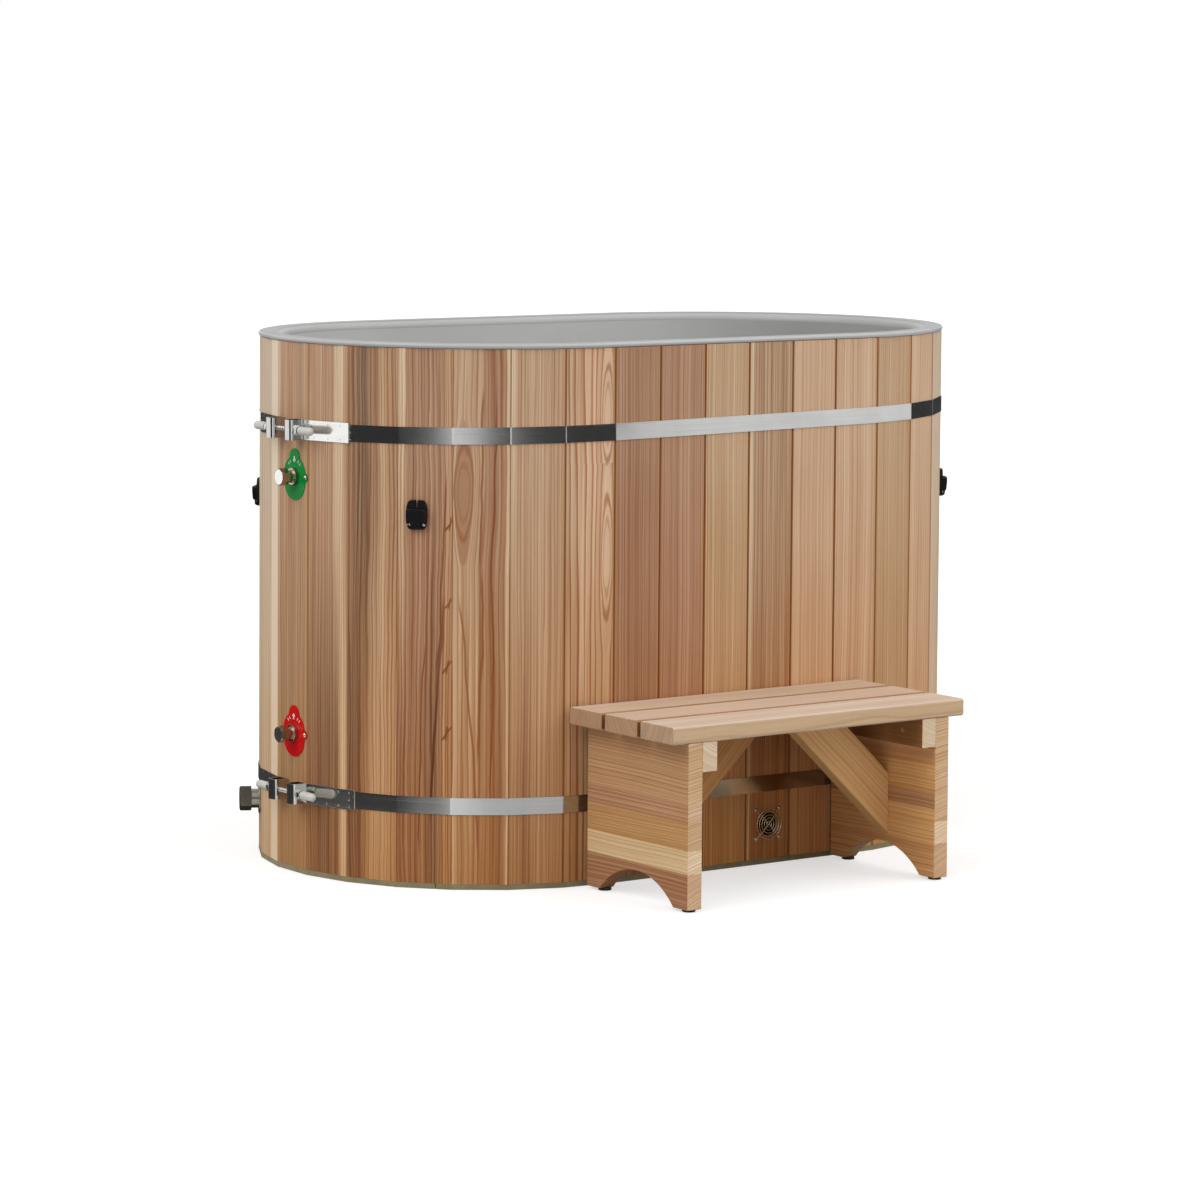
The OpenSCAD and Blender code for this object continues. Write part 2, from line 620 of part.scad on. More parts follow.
module floor_drain() color([0.86, 0.86, 0.85]) at_drain() translate([0, drain_run, 0]) difference() {
    floor_top = liner_z + liner_floor_t - drain_z;
    union() {
        translate([0, 0, board_z - drain_z - 13.5]) cylinder(r = drain_d / 2, h = floor_top - board_z + drain_z + 14);
        translate([0, 0, floor_top + seat]) cylinder(r1 = 38, r2 = 34, h = 4);
    }
    translate([0, 0, board_z - drain_z - 14]) cylinder(r = drain_bore / 2, h = floor_top - board_z + drain_z + 14);
    for (k = [-2:2]) translate([k * 6 - 1.5, -10, floor_top - 1]) cube([3, 20, 8]);
}

// Cover clips: a moulded socket, open above, that a strap's clip drops into
slot_w = 24;
slot_t = 4.6;
slot_skin = 1.8;
slot_h = 30;
clip_r = 6;
clip_screw_x = 12;
clip_screw_z = -16;
module clip_outline() {
    w = clip_w / 2;
    h = clip_h / 2;
    for (sx = [-1, 1]) for (sz = [-1, 1]) translate([sx * (w - clip_r), sz * (h - clip_r)]) circle(clip_r, $fn = 32);
    square([clip_w - 2 * clip_r, clip_h], center = true);
    square([clip_w, clip_h - 2 * clip_r], center = true);
}
module cover_clip() difference() {
    translate([0, -touch, 0]) rotate([90, 0, 0]) linear_extrude(clip_t) clip_outline();
    translate([-slot_w / 2, -clip_t + slot_skin, clip_h / 2 - slot_h]) cube([slot_w, slot_t, slot_h + 1]);
    translate([-3, -clip_t - 1, clip_h / 2 - 12]) cube([6, 4, 13]);
    for (sx = [-1, 1]) translate([sx * clip_screw_x, 0, clip_screw_z]) {
        out_cyl(screw_r + seat, -1, clip_t + 1, 24);
        out_cyl(head_r + 1, clip_t - 2.5, clip_t + 1, 32);
    }
}
module cover_clips() color([0.08, 0.08, 0.08]) at_clips() cover_clip();
module at_clip_screws() at_clips() for (sx = [-1, 1]) translate([sx * clip_screw_x, 0, clip_screw_z]) children();
module clip_screws() color([0.8, 0.8, 0.8]) at_clip_screws() screw(clip_t - 2.5 + touch);

// Vent guard: rings on two crossed bars, with a leg down to a loop round each screw
ring_y = 5;
ring_count = 5;
guard_r = 26;
loop_r = 3.4;
module ring_2d(r) difference() {
    circle(r + vent_wire_d / 2, $fn = 96);
    circle(r - vent_wire_d / 2, $fn = 96);
}
module guard_lattice() {
    for (k = [1:ring_count]) ring_2d(guard_r * k / ring_count);
    for (a = [45, -45]) rotate(a) square([2 * guard_r, vent_wire_d], center = true);
}
leg_reach = vent_screw_pitch / 2 * sqrt(2);
module guard_leg() {
    end = leg_reach - loop_r + 0.3;
    low = touch + vent_wire_d / 2;
    h = vent_wire_d * 0.35;
    translate([0, 0, -vent_wire_d / 2 + touch]) linear_extrude(vent_wire_d - 2 * touch)
        polygon([[guard_r - 1, h - ring_y], [end - 1, h - low], [end, h - low], [end, -h - low],
            [guard_r + 1, -h - ring_y], [guard_r - 1, -h - ring_y]]);
}
module vent_guard() color([0.75, 0.75, 0.75]) at_vent() {
    translate([0, -ring_y + vent_wire_d / 2, 0]) rotate([90, 0, 0]) linear_extrude(vent_wire_d) guard_lattice();
    for (a = [45:90:315]) rotate([0, a, 0]) {
        guard_leg();
        translate([leg_reach, -touch, 0]) rotate([90, 0, 0]) linear_extrude(vent_wire_d) ring_2d(loop_r);
    }
}
module at_vent_screws() at_vent() for (sx = [-1, 1]) for (sz = [-1, 1])
    translate([sx * vent_screw_pitch / 2, 0, sz * vent_screw_pitch / 2]) children();
module vent_screws() color([0.8, 0.8, 0.8]) at_vent_screws() screw(vent_wire_d + 2 * touch);

// Step: three top boards on two arched side panels with cleats and braces
edge_r = 4;
module tread(k) translate([step_left, step_front + k * (tread_w + tread_gap), tread_z])
    rotate([90, 0, 90]) linear_extrude(step_len) {
        translate([edge_r, edge_r]) square([tread_w - 2 * edge_r, tread_t - 2 * edge_r]);
        for (x = [edge_r, tread_w - edge_r]) for (z = [edge_r, tread_t - edge_r]) translate([x, z]) circle(edge_r, $fn = 32);
        translate([edge_r, 0]) square([tread_w - 2 * edge_r, tread_t]);
        translate([0, edge_r]) square([tread_w, tread_t - 2 * edge_r]);
    }
module step_board_front() color([0.84, 0.68, 0.5]) tread(0);
module step_board_middle() color([0.86, 0.7, 0.53]) tread(1);
module step_board_back() color([0.82, 0.66, 0.49]) tread(2);
arch_r = (pow(arch_span / 2, 2) + arch_h * arch_h) / 2 / arch_h;
module side_panel(x) translate([x, 0, 0]) rotate([90, 0, 90]) linear_extrude(tread_t) difference() {
    translate([step_front + panel_front, pad_h + touch]) square([panel_d, tread_z - pad_h - 2 * touch]);
    translate([step_mid - 2, pad_h + arch_h - arch_r]) circle(arch_r, $fn = 128);
}
module step_panel_left() color([0.8, 0.62, 0.42]) side_panel(step_left + step_inset);
module step_panel_right() color([0.78, 0.6, 0.41]) side_panel(step_right - panel_in);
cleat_trim = 6;
module cleat(x) difference() {
    translate([x, step_front + panel_front, tread_z - cleat_h]) cube([tread_t, panel_d - cleat_trim, cleat_h - touch]);
    at_cleat_screws() sink();
}
module step_cleat_left() color([0.82, 0.66, 0.46]) cleat(step_left + panel_in + touch);
module step_cleat_right() color([0.82, 0.66, 0.46]) cleat(step_right - panel_in - touch - tread_t);
module brace(side) {
    x = side > 0 ? step_right - panel_in - touch : step_left + panel_in + touch;
    top = tread_z - touch;
    far = (top - brace_z) / tan(brace_slope);
    near = (top - brace_z - brace_w / cos(brace_slope)) / tan(brace_slope);
    translate([x, step_mid + tread_t / 2 - 6, 0]) rotate([90, 0, 0]) linear_extrude(tread_t)
        polygon([[0, brace_z], [0, brace_z + brace_w / cos(brace_slope)], [-side * near, top], [-side * far, top]]);
}
module step_brace_left() color([0.8, 0.63, 0.42]) brace(-1);
module step_brace_right() color([0.8, 0.63, 0.42]) brace(1);
module step_pads() color([0.15, 0.13, 0.12]) for (x = [step_left + step_inset, step_right - panel_in])
    for (y = [step_front + panel_front + pad_d / 2 + 4, step_back - panel_back - pad_d / 2 - 20])
        translate([x + tread_t / 2, y, 0]) cylinder(d = pad_d, h = pad_h);
// Screws through the cleats into the side panels
cleat_screw_y = 90;
cleat_sink = 3;
module at_cleat_screws() for (sy = [-1, 1]) {
    translate([step_left + panel_in + tread_t, step_mid + sy * cleat_screw_y, tread_z - cleat_h / 2])
        rotate([0, 0, 90]) children();
    translate([step_right - panel_in - tread_t, step_mid + sy * cleat_screw_y, tread_z - cleat_h / 2])
        rotate([0, 0, -90]) children();
}
module sink() {
    out_cyl(head_r + 0.6, -cleat_sink, 5, 32);
    out_cyl(screw_r + thread_fit, -tread_t - 5, 1, 24);
}
module step_screws() color([0.75, 0.72, 0.65]) at_cleat_screws() translate([0, cleat_sink, 0]) {
    out_cyl(screw_r, -(tread_t - cleat_sink) + 1, 0.5, 24);
    out_cyl(head_r, 0, head_h, 32);
}

liner();
foam_wrap();
floor_board();
joists();
base_plate();
sill_strip();
staves_front();
staves_right_end();
staves_back();
staves_left_end();
upper_band();
lower_band();
upper_lugs();
lower_lugs();
clamp_rods();
rod_caps();
upper_washer_front();
upper_washer_back();
lower_washer_front();
lower_washer_back();
upper_nut_front();
upper_nut_back();
lower_nut_front();
lower_nut_back();
inlet_plate();
outlet_plate();
plate_screws();
inlet_pipe();
outlet_pipe();
inlet_seal();
outlet_seal();
inlet_cap();
outlet_cap();
return_jet();
suction_strainer();
drain_flange();
drain_pipe();
drain_elbow();
floor_drain();
drain_seal();
drain_cap();
cover_clips();
clip_screws();
vent_guard();
vent_screws();
step_board_front();
step_board_middle();
step_board_back();
step_panel_left();
step_panel_right();
step_cleat_left();
step_cleat_right();
step_brace_left();
step_brace_right();
step_pads();
step_screws();
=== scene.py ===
import json
from math import atan2, cos, hypot, pi, radians, sin

import bmesh
import bpy
from mathutils import Matrix, Vector


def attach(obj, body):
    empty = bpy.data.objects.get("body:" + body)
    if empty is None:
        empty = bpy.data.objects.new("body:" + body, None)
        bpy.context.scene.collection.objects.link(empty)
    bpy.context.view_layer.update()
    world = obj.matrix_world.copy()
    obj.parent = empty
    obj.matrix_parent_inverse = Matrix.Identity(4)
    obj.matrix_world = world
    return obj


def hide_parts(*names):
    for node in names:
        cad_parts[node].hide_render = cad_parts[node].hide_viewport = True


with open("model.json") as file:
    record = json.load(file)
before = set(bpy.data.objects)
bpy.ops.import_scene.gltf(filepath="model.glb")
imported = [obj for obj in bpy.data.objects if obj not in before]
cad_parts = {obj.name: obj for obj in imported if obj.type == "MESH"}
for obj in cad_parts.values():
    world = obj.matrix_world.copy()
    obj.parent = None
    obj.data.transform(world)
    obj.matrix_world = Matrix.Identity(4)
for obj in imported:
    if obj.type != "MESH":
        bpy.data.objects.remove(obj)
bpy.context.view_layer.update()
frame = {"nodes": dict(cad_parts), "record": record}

# Tub sizes in metres, as in the part's source
TUB_LEN, TUB_W = 1.3035, 0.770
END_R = TUB_W / 2
STRAIGHT = TUB_LEN - TUB_W
HALF_TURN = pi * END_R
OUTLINE_LEN = 2 * STRAIGHT + 2 * HALF_TURN
STAVES = 37
FIRST_JOINT = 0.266
PITCH = OUTLINE_LEN / STAVES
STAVE_T = 0.020
RIM_TOP, RIM_DEPTH = 0.9035, 0.0139
UPPER_BAND_Z, BAND_TILT, LOWER_BAND_Z = 0.7582, radians(0.67), 0.139
UPPER_SHIFT, LOWER_SHIFT, PORT_SHIFT = -0.003, 0.007, 0.007
BAND_OFF, LUG_EDGE, LUG_FACE, LUG_LOOP_END = 0.0009, 0.020, 0.00265, 0.0425
ROD_OFF, ROD_LEN, ROD_D = 0.017, 0.176, 0.00794
INLET_Z, OUTLET_Z, VENT_Z, CLIP_Z = 0.670, 0.236, 0.069, 0.621
VENT_HOLE_R, VENT_SCREW_X, PLATE_SCREW_X = 0.024, 0.025, 0.0345
CLIP_ARC, CLIP_W, CLIP_SCREW_X, CLIP_SCREW_Z = 0.609, 0.036, 0.012, -0.016
SIDES = (-1, 1)


def outline(s):
    """Point at arc s from the middle of the front, counted towards +X and on round the tub."""
    half, s = divmod((s + STRAIGHT / 2) % OUTLINE_LEN, STRAIGHT + HALF_TURN)
    if s < STRAIGHT:
        point = Vector((s - STRAIGHT / 2, -END_R, 0))
    else:
        turn = (s - STRAIGHT) / END_R
        point = Vector((STRAIGHT / 2 + END_R * sin(turn), -END_R * cos(turn), 0))
    return -point if half else point


JOINTS = [outline(i * PITCH - FIRST_JOINT) for i in range(STAVES)]


def along(i):
    return (JOINTS[(i + 1) % STAVES] - JOINTS[i % STAVES]).normalized()


def out(i):
    t = along(i)
    return Vector((t.y, -t.x, 0))


def face_mid(i):
    return (JOINTS[i % STAVES] + JOINTS[(i + 1) % STAVES]) / 2


def stave_of(s):
    return int(((s + FIRST_JOINT) % OUTLINE_LEN) // PITCH) % STAVES


def shift_on(s):
    return (s + FIRST_JOINT) % OUTLINE_LEN - (stave_of(s) + 0.5) * PITCH


def turned(angle, axis):
    return Matrix.Rotation(angle, 4, axis)


END_STAVE = stave_of(-STRAIGHT / 2 - HALF_TURN / 2)
VENT_STAVE = stave_of(0.062)


def at_face(i, shift=0.0, z=0.0):
    """Frame on stave i: +X along the face, -Y out of it."""
    spot = face_mid(i) + along(i) * shift
    return Matrix.Translation((spot.x, spot.y, z)) @ turned(atan2(along(i).y, along(i).x), "Z")


UPPER_FRAME = Matrix.Translation((0, 0, UPPER_BAND_Z)) @ turned(-BAND_TILT, "Y")
LOWER_FRAME = Matrix.Translation((0, 0, LOWER_BAND_Z))
UPPER_CLAMP = UPPER_FRAME @ at_face(END_STAVE, UPPER_SHIFT)
LOWER_CLAMP = LOWER_FRAME @ at_face(END_STAVE, LOWER_SHIFT)
AT_INLET = at_face(END_STAVE, PORT_SHIFT, INLET_Z)
AT_OUTLET = at_face(END_STAVE, PORT_SHIFT, OUTLET_Z)
AT_VENT = at_face(VENT_STAVE, 0, VENT_Z)


def placed(name, data):
    """A new object in the scene."""
    holder = bpy.data.objects.new(name, data)
    bpy.context.scene.collection.objects.link(holder)
    return holder


def placed_mesh(name, points, edges=(), faces=()):
    mesh = bpy.data.meshes.new(name)
    mesh.from_pydata(points, edges, faces)
    return placed(name, mesh)


def photo_camera():
    """The camera that was fitted to the photograph."""
    spot, yaw, pitch, roll = (-4.5558, -6.1661, 1.3314), 0.6245, 0.0727, 0.0067
    focal_px, centre_px, frame_px = 4360.4, (555.3, 400.2), 1200
    cam = bpy.data.cameras.new("photo_camera")
    cam.lens = cam.sensor_width * focal_px / frame_px
    cam.shift_x = (frame_px / 2 - centre_px[0]) / frame_px
    cam.shift_y = (centre_px[1] - frame_px / 2) / frame_px
    cam.clip_end = 200
    holder = placed("photo_camera", cam)
    turn = turned(-yaw, "Z") @ turned(pi / 2 - pitch, "X") @ turned(roll, "Z")
    holder.matrix_world = Matrix.Translation(spot) @ turn
    bpy.context.scene.camera = holder


photo_camera()


# Node helpers
def node_operator(operation):
    return lambda a, b: a.nodes.math(operation, a, b)


class Value:
    """A node's output, on which + - * / and abs() add Math nodes."""
    __add__, __sub__, __mul__, __truediv__ = map(node_operator, ("ADD", "SUBTRACT", "MULTIPLY", "DIVIDE"))

    def __init__(self, nodes, socket):
        self.nodes, self.socket = nodes, socket

    def __abs__(self):
        return self.nodes.math("ABSOLUTE", self)


class Nodes:
    """Adds nodes to a tree and feeds their inputs with constants or with a Value."""

    def __init__(self, tree):
        self.tree = tree

    def add(self, kind, **settings):
        node = self.tree.nodes.new(kind)
        for key, value in settings.items():
            setattr(node, key, value)
        return node

    def feed(self, socket, value):
        if isinstance(value, Value):
            self.tree.links.new(value.socket, socket)
        elif value is not None:
            socket.default_value = value

    def value(self, node, key=0):
        return Value(self, node.outputs[key])

    def values(self, node):
        return [Value(self, socket) for socket in node.outputs]

    def in_order(self, node, *values):
        """Feeds a node's inputs in their order and returns its first output."""
        for socket, value in zip(node.inputs, values):
            self.feed(socket, value)
        return self.value(node)

    def fill(self, node, **values):
        """Feeds a node's inputs by their names, with _ for a space."""
        for label, value in values.items():
            if value is not None:
                self.feed(node.inputs[label.replace("_", " ")], value)
        return node

    def make(self, kind, settings=(), **values):
        """Adds a node, feeds its inputs by their names and returns its first output."""
        return self.value(self.fill(self.add(kind, **dict(settings)), **values))

    def math(self, operation, a, b=None, c=None, clamp=False):
        return self.in_order(self.add("ShaderNodeMath", operation=operation, use_clamp=clamp), a, b, c)

    def vmath(self, operation, a, b=None, scale=None):
        return self.in_order(self.add("ShaderNodeVectorMath", operation=operation), a, b, None, scale)

    def split(self, vector):
        return self.values(self.fill(self.add("ShaderNodeSeparateXYZ"), Vector=vector))

    def join(self, x, y, z):
        return self.in_order(self.add("ShaderNodeCombineXYZ"), x, y, z)

    def noise(self, vector=None, scale=1.0, detail=2.0, rough=0.5, w=None, output="Fac"):
        node = self.add("ShaderNodeTexNoise", noise_dimensions="1D" if vector is None else "3D")
        return self.value(self.fill(node, Vector=vector, W=w, Scale=scale, Detail=detail, Roughness=rough), output)

    def remap(self, value, low, high, to_low=0.0, to_high=1.0, smooth=True):
        node = self.add("ShaderNodeMapRange", interpolation_type="SMOOTHSTEP" if smooth else "LINEAR")
        return self.in_order(node, value, low, high, to_low, to_high)

    def falling(self, value, low, high):
        """1 below low, 0 above high."""
        return self.remap(value, low, high, 1.0, 0.0)

    def mix(self, factor, a, b, blend="MIX"):
        node = self.add("ShaderNodeMix", data_type="RGBA", blend_type=blend)
        for k, value in ((0, factor), (6, a), (7, b)):
            self.feed(node.inputs[k], value)
        return self.value(node, 2)

    def tinted(self, colour, tint):
        return self.mix(1.0, colour, (*tint, 1) if isinstance(tint, tuple) else tint, "MULTIPLY")

    def mix_value(self, factor, a, b):
        return self.in_order(self.add("ShaderNodeMix", data_type="FLOAT"), factor, None, a, b)

    def ramp(self, factor, stops, style="LINEAR"):
        node = self.add("ShaderNodeValToRGB")
        node.color_ramp.interpolation = style
        elements = node.color_ramp.elements
        for end, (spot, shade) in ((0, stops[0]), (-1, stops[-1])):
            elements[end].position, elements[end].color = spot, SHADES[shade]
        for spot, shade in stops[1:-1]:
            elements.new(spot).color = SHADES[shade]
        return self.in_order(node, factor)

    def bump(self, height, distance, strength):
        return self.make("ShaderNodeBump", Height=height, Distance=distance, Strength=strength)

    def attribute(self, name, output="Vector"):
        return self.value(self.add("ShaderNodeAttribute", attribute_name=name), output)

    def place(self):
        return self.value(self.add("ShaderNodeTexCoord"), "Object")

    def use(self, group, **inputs):
        return self.values(self.fill(self.add("ShaderNodeGroup", node_tree=group), **inputs))


FLOAT, INTEGER, COLOUR, VECTOR, GEOMETRY, MATERIAL = (
    "NodeSocket" + kind for kind in ("Float", "Int", "Color", "Vector", "Geometry", "Material"))


def kind_of(value):
    """An input is given by its default value or, where it has none, by its kind."""
    if isinstance(value, str):
        return value
    if isinstance(value, tuple):
        return COLOUR if len(value) == 4 else VECTOR
    return FLOAT if isinstance(value, float) else INTEGER


def node_group(tree_kind, inputs, outputs):
    """Turns a function into a node group of its name: it gets the helper and the inputs, and returns the outputs."""
    def build(function):
        tree = bpy.data.node_groups.new(function.__name__, tree_kind)
        for label, value in inputs.items():
            socket = tree.interface.new_socket(name=label, in_out="INPUT", socket_type=kind_of(value))
            if not isinstance(value, str):
                socket.default_value = value
        for label, kind in outputs.items():
            tree.interface.new_socket(name=label, in_out="OUTPUT", socket_type=kind)
        n = Nodes(tree)
        given = n.values(n.add("NodeGroupInput"))[:len(inputs)]
        results = function(n, *given)
        if isinstance(results, Value):
            results = (results,)
        for socket, value in zip(n.add("NodeGroupOutput").inputs, results):
            n.feed(socket, value)
        return tree
    return build


def shader_group(inputs, **outputs):
    return node_group("ShaderNodeTree", inputs, outputs)


def growing_tree(**inputs):
    named = {label.replace("_", " "): value for label, value in inputs.items()}
    return node_group("GeometryNodeTree", {"Geometry": GEOMETRY, **named, "Finish": MATERIAL}, {"Geometry": GEOMETRY})


def rgb(*channels):
    """A colour given as it looks on a screen, 0 to 255, as linear values."""
    def linear(v):
        v /= 255
        return v / 12.92 if v <= 0.04045 else ((v + 0.055) / 1.055) ** 2.4
    return (*map(linear, channels), 1.0)


def total(values):
    return sum(values[1:], values[0])


def weighed(*pairs):
    """The sum of noises, each taken round zero and times its weight."""
    return total([(value - 0.5) * weight for value, weight in pairs])


SHADES = {name: rgb(*channels) for name, channels in {
    "cream": (236, 218, 190), "straw": (208, 176, 140), "pale": (212, 180, 150), "tan": (196, 156, 122),
    "honey": (192, 146, 100), "rose": (184, 138, 110), "clay": (172, 124, 92), "brown": (150, 102, 64),
    "umber": (124, 78, 44), "grey": (190, 156, 128), "olive": (188, 154, 120), "pink": (196, 156, 128),
    "rust": (168, 116, 84), "ash": (221, 205, 185), "gold": (202, 160, 108), "blush": (208, 186, 170),
    "petal": (214, 199, 186), "fawn": (202, 180, 160), "dun": (174, 147, 118), "bisque": (222, 188, 158),
    "shell": (238, 204, 174)}.items()}
CREAM = SHADES["cream"]


@shader_group({"Grain": VECTOR, "Cut": VECTOR, "Traits": VECTOR, "Tone": (0.5, 0.3, 0.15, 1),
               "Sapwood": (0.7, 0.55, 0.36, 1), "Streaks": 1.0, "Ring Width": 0.005, "Sway": 1.0},
              Color=COLOUR, Roughness=FLOAT, Height=FLOAT)
def wood_grain(n, grain, cut, traits, tone, sapwood, streaks, ring_width, sway):
    """Solid wood: yearly rings round a pith, colour bands that follow them, sapwood and fibres."""
    across, length, depth = n.split(grain)
    pith_x, pith_y, taper = n.split(cut)
    seed, figure, sap_from = n.split(traits)
    offset = n.join(seed * 3.7, seed * 11.3, seed * 5.9)

    def noisy(sx, sy, detail=2.0, output="Fac"):
        spread = n.vmath("MULTIPLY", grain, (sx, sy, sx))
        return n.noise(n.vmath("ADD", spread, offset), detail=detail, output=output)

    def swaying(sx, sy):
        centred = n.vmath("SUBTRACT", noisy(sx, sy, output="Color"), (0.5, 0.5, 0.5))
        return n.split(n.vmath("SCALE", centred, scale=sway))

    def bands(per_metre, shift, detail=1.0):
        return n.noise(w=radius * per_metre + (seed * 7.3 + shift), detail=detail)

    sway_x, sway_y, _ = swaying(3.0, 2.2)
    ripple_x, ripple_y, _ = swaying(26, 9)
    px = across - pith_x + (sway_x * 0.030 + ripple_x * 0.0030)
    py = depth + pith_y + taper * length + (sway_y * 0.060 + ripple_y * 0.0020)
    radius = n.math("SQRT", px * px + py * py)
    wide, middle, narrow = bands(40, 0.0), bands(190, 31.0), bands(400, 67.0, 2.0)
    fibre, cloud = noisy(620, 7, 3.0), noisy(14, 3.2)
    spread = weighed((wide, 0.45), (middle, 0.60), (narrow, 1.10), (fibre, 0.40), (cloud, 0.45)) * streaks

    phase = n.math("FRACT", radius / ring_width + wide * 1.6)
    late = n.remap(phase, 0.55, 0.93) * n.falling(phase, 0.94, 0.995)
    late = late * (figure * n.remap(middle, 0.3, 0.65, 0.45, 1.0))

    dark, light = n.tinted(tone, (0.66, 0.54, 0.44)), n.mix(0.30, tone, sapwood)
    colour = n.mix(n.remap(spread, -0.50, 0.50, smooth=False), light, dark)
    colour = n.mix(late * 0.80, colour, n.tinted(tone, (0.50, 0.31, 0.20)))
    sap = n.remap(radius + (narrow - 0.5) * 0.004, sap_from, sap_from + 0.004)
    pale = n.mix(n.remap(spread, -0.5, 0.6, 0.0, 0.55, False), sapwood, tone)
    colour = n.mix(sap * 0.85, colour, pale)
    fleck = n.remap(noisy(1500, 55, 1.0), 0.66, 0.80)
    colour = n.mix(fleck * 0.28, colour, (0.12, 0.05, 0.02, 1))
    return colour, fibre * 0.20 + 0.50, fibre * 0.55 + late * 0.6


@shader_group({"Color": COLOUR, "Grain": VECTOR, "Joint": 1.0, "Tint": (0.90, 0.67, 0.42, 1), "Place": VECTOR},
              Color=COLOUR)
def stave_edges(n, colour, grain, joint, tint, place):
    """A stave's darker, warmer foot as painted shade, the painted warm light behind the step, and the long edges: dark
    in the joint, with a painted warm shade beside it.
    """
    across, height, _ = n.split(grain)
    # Painted shade: towards the foot the colour is darkened and warmed by Tint, less on dark wood.
    low = n.remap(height, 0.0, 0.74, 1.0, 0.0, False) * n.remap(n.split(colour)[1], 0.38, 0.62, 1.0, 0.35)
    colour = n.mix(low, colour, n.tinted(colour, tint))
    x, y, z = n.split(place)
    # Painted warm light and shade on the staves behind the step.
    splashed = n.remap(x, -0.20, -0.10) * n.falling(x, 0.17, 0.25)
    splashed = splashed * (n.falling(z, 0.24, 0.34) * n.math("LESS_THAN", y, 0.0))
    colour = n.mix(splashed, colour, n.tinted(colour, (1.10, 0.94, 0.76)))
    # Painted warm shade on the groove's wall beside the right edge of each joint.
    right = n.remap(across, PITCH / 2 - 0.0065, PITCH / 2 - 0.0045)
    colour = n.mix(right * (joint * 0.55), colour, (0.50, 0.26, 0.11, 1))
    ends = n.remap(abs(across), PITCH / 2 - 0.0030, PITCH / 2 - 0.0012)
    return n.mix(ends * (joint * 0.92), colour, (0.27, 0.095, 0.022, 1))


@shader_group({"Grain": VECTOR, "Seed": 1.0, "Sway": 0.03}, Across=FLOAT, Height=FLOAT)
def stave_place(n, grain, seed, sway):
    """Place on a stave: 0 to 1 from its left to its right edge, swaying a little, and its height."""
    across, height, _ = n.split(grain)
    u = n.math("MULTIPLY_ADD", across, 1 / PITCH, 0.5)
    slow = n.noise(n.join(u * 1.2, height * 2.6, seed), detail=1.0)
    quick = n.noise(n.join(u * 4.0, height * 11.0, seed))
    return u + ((slow - 0.5) * 3.0 + (quick - 0.5)) * sway, height


@shader_group({"Across": 0.0, "Height": 0.0, "Seed": 1.0, "Count": 18.0}, Tone=FLOAT, Line=FLOAT, Fibre=FLOAT)
def stave_lines(n, across, height, seed, count):
    """Straight grain on a stave: fine tone changes, thin late wood lines and fibres."""
    def streaks(per_count, rise):
        return n.noise(n.join(across * (count * per_count), height * rise, seed))
    fine, medium, fibre = streaks(2.1, 1.6), streaks(0.55, 0.9), streaks(5.0, 9.0)
    phase = n.math("FRACT", across * count + medium * 2.5)
    line = n.remap(phase, 0.55, 0.92) * n.falling(phase, 0.93, 0.995)
    return weighed((fine, 1.2), (medium, 0.7), (fibre, 0.4)), line, fibre


@shader_group({"Across": 0.0, "Height": 0.0, "Centre": VECTOR, "Size": VECTOR, "Wobble": 0.35}, Line=FLOAT, Bent=FLOAT)
def stave_oval(n, across, height, centre, size, wobble):
    """A figure in the grain, where the saw met a bulge: its two outlines, and the grain bent round it."""
    middle, level, _ = n.split(centre)
    wide, high, _ = n.split(size)
    du, dz = across - middle, (height - level) / high
    rough = n.noise(n.join(across * 5.0, height * 22.0, 0.0))
    ratio = du / wide
    far = n.math("SQRT", ratio * ratio + dz * dz) + (rough - 0.5) * wobble
    outer = n.falling(abs(far - 1.0), 0.02, 0.16)
    inner = n.remap(abs(far - 0.62), 0.02, 0.14, 0.55, 0.0)
    reach = n.math("SUBTRACT", 1.0, dz * dz * 0.40, clamp=True)
    left = n.math("MAXIMUM", du * du - wide * wide * reach, 0.0)
    return n.math("MAXIMUM", outer, inner), middle + n.math("SIGN", du) * n.math("SQRT", left)


@shader_group({"Across": 0.0, "Height": 0.0, "Upper": VECTOR, "Lower": VECTOR, "Width": 0.03}, Line=FLOAT)
def stave_vein(n, across, height, upper, lower, width):
    """A dark vein or check along the grain, from one place on a stave to another."""
    upper_u, upper_z, _ = n.split(upper)
    lower_u, lower_z, _ = n.split(lower)
    part = (height - lower_z) / (upper_z - lower_z)
    bend = n.noise(n.join(height * 8.0, upper_u, lower_u))
    middle = n.math("MULTIPLY_ADD", upper_u - lower_u, part, lower_u) + (bend - 0.5) * 0.14
    line = n.falling(abs(across - middle) / width, 0.25, 1.0)
    return line * (n.remap(part, 0.0, 0.12) * n.falling(part, 0.88, 1.0))


@shader_group({"Place": VECTOR, "Patch Size": 30.0, "Grain Size": 900.0}, Patches=FLOAT, Fine=FLOAT, Specks=FLOAT)
def surface_unevenness(n, place, patch_size, grain_size):
    """Slight unevenness of moulded and painted parts: cloudy patches, fine grain and specks."""
    specks = n.remap(n.noise(place, grain_size * 0.6, 1.0), 0.70, 0.80)
    return n.noise(place, patch_size, 4.0, 0.55), n.noise(place, grain_size, 2.0, 0.6), specks


@shader_group({"Place": VECTOR, "Stretch": (6.0, 6.0, 1400.0)}, Streaks=FLOAT, Scratches=FLOAT, Smudges=FLOAT)
def brush_marks(n, place, stretch):
    """Brush marks: long fine streaks along one direction, a few deeper scratches and wide smudges."""
    stretched = n.vmath("MULTIPLY", place, stretch)
    scratches = n.remap(n.noise(n.vmath("SCALE", stretched, scale=0.35)), 0.62, 0.75)
    return n.noise(stretched, 1.0, 4.0, 0.7), scratches, n.noise(place, 22.0, 3.0, 0.6)


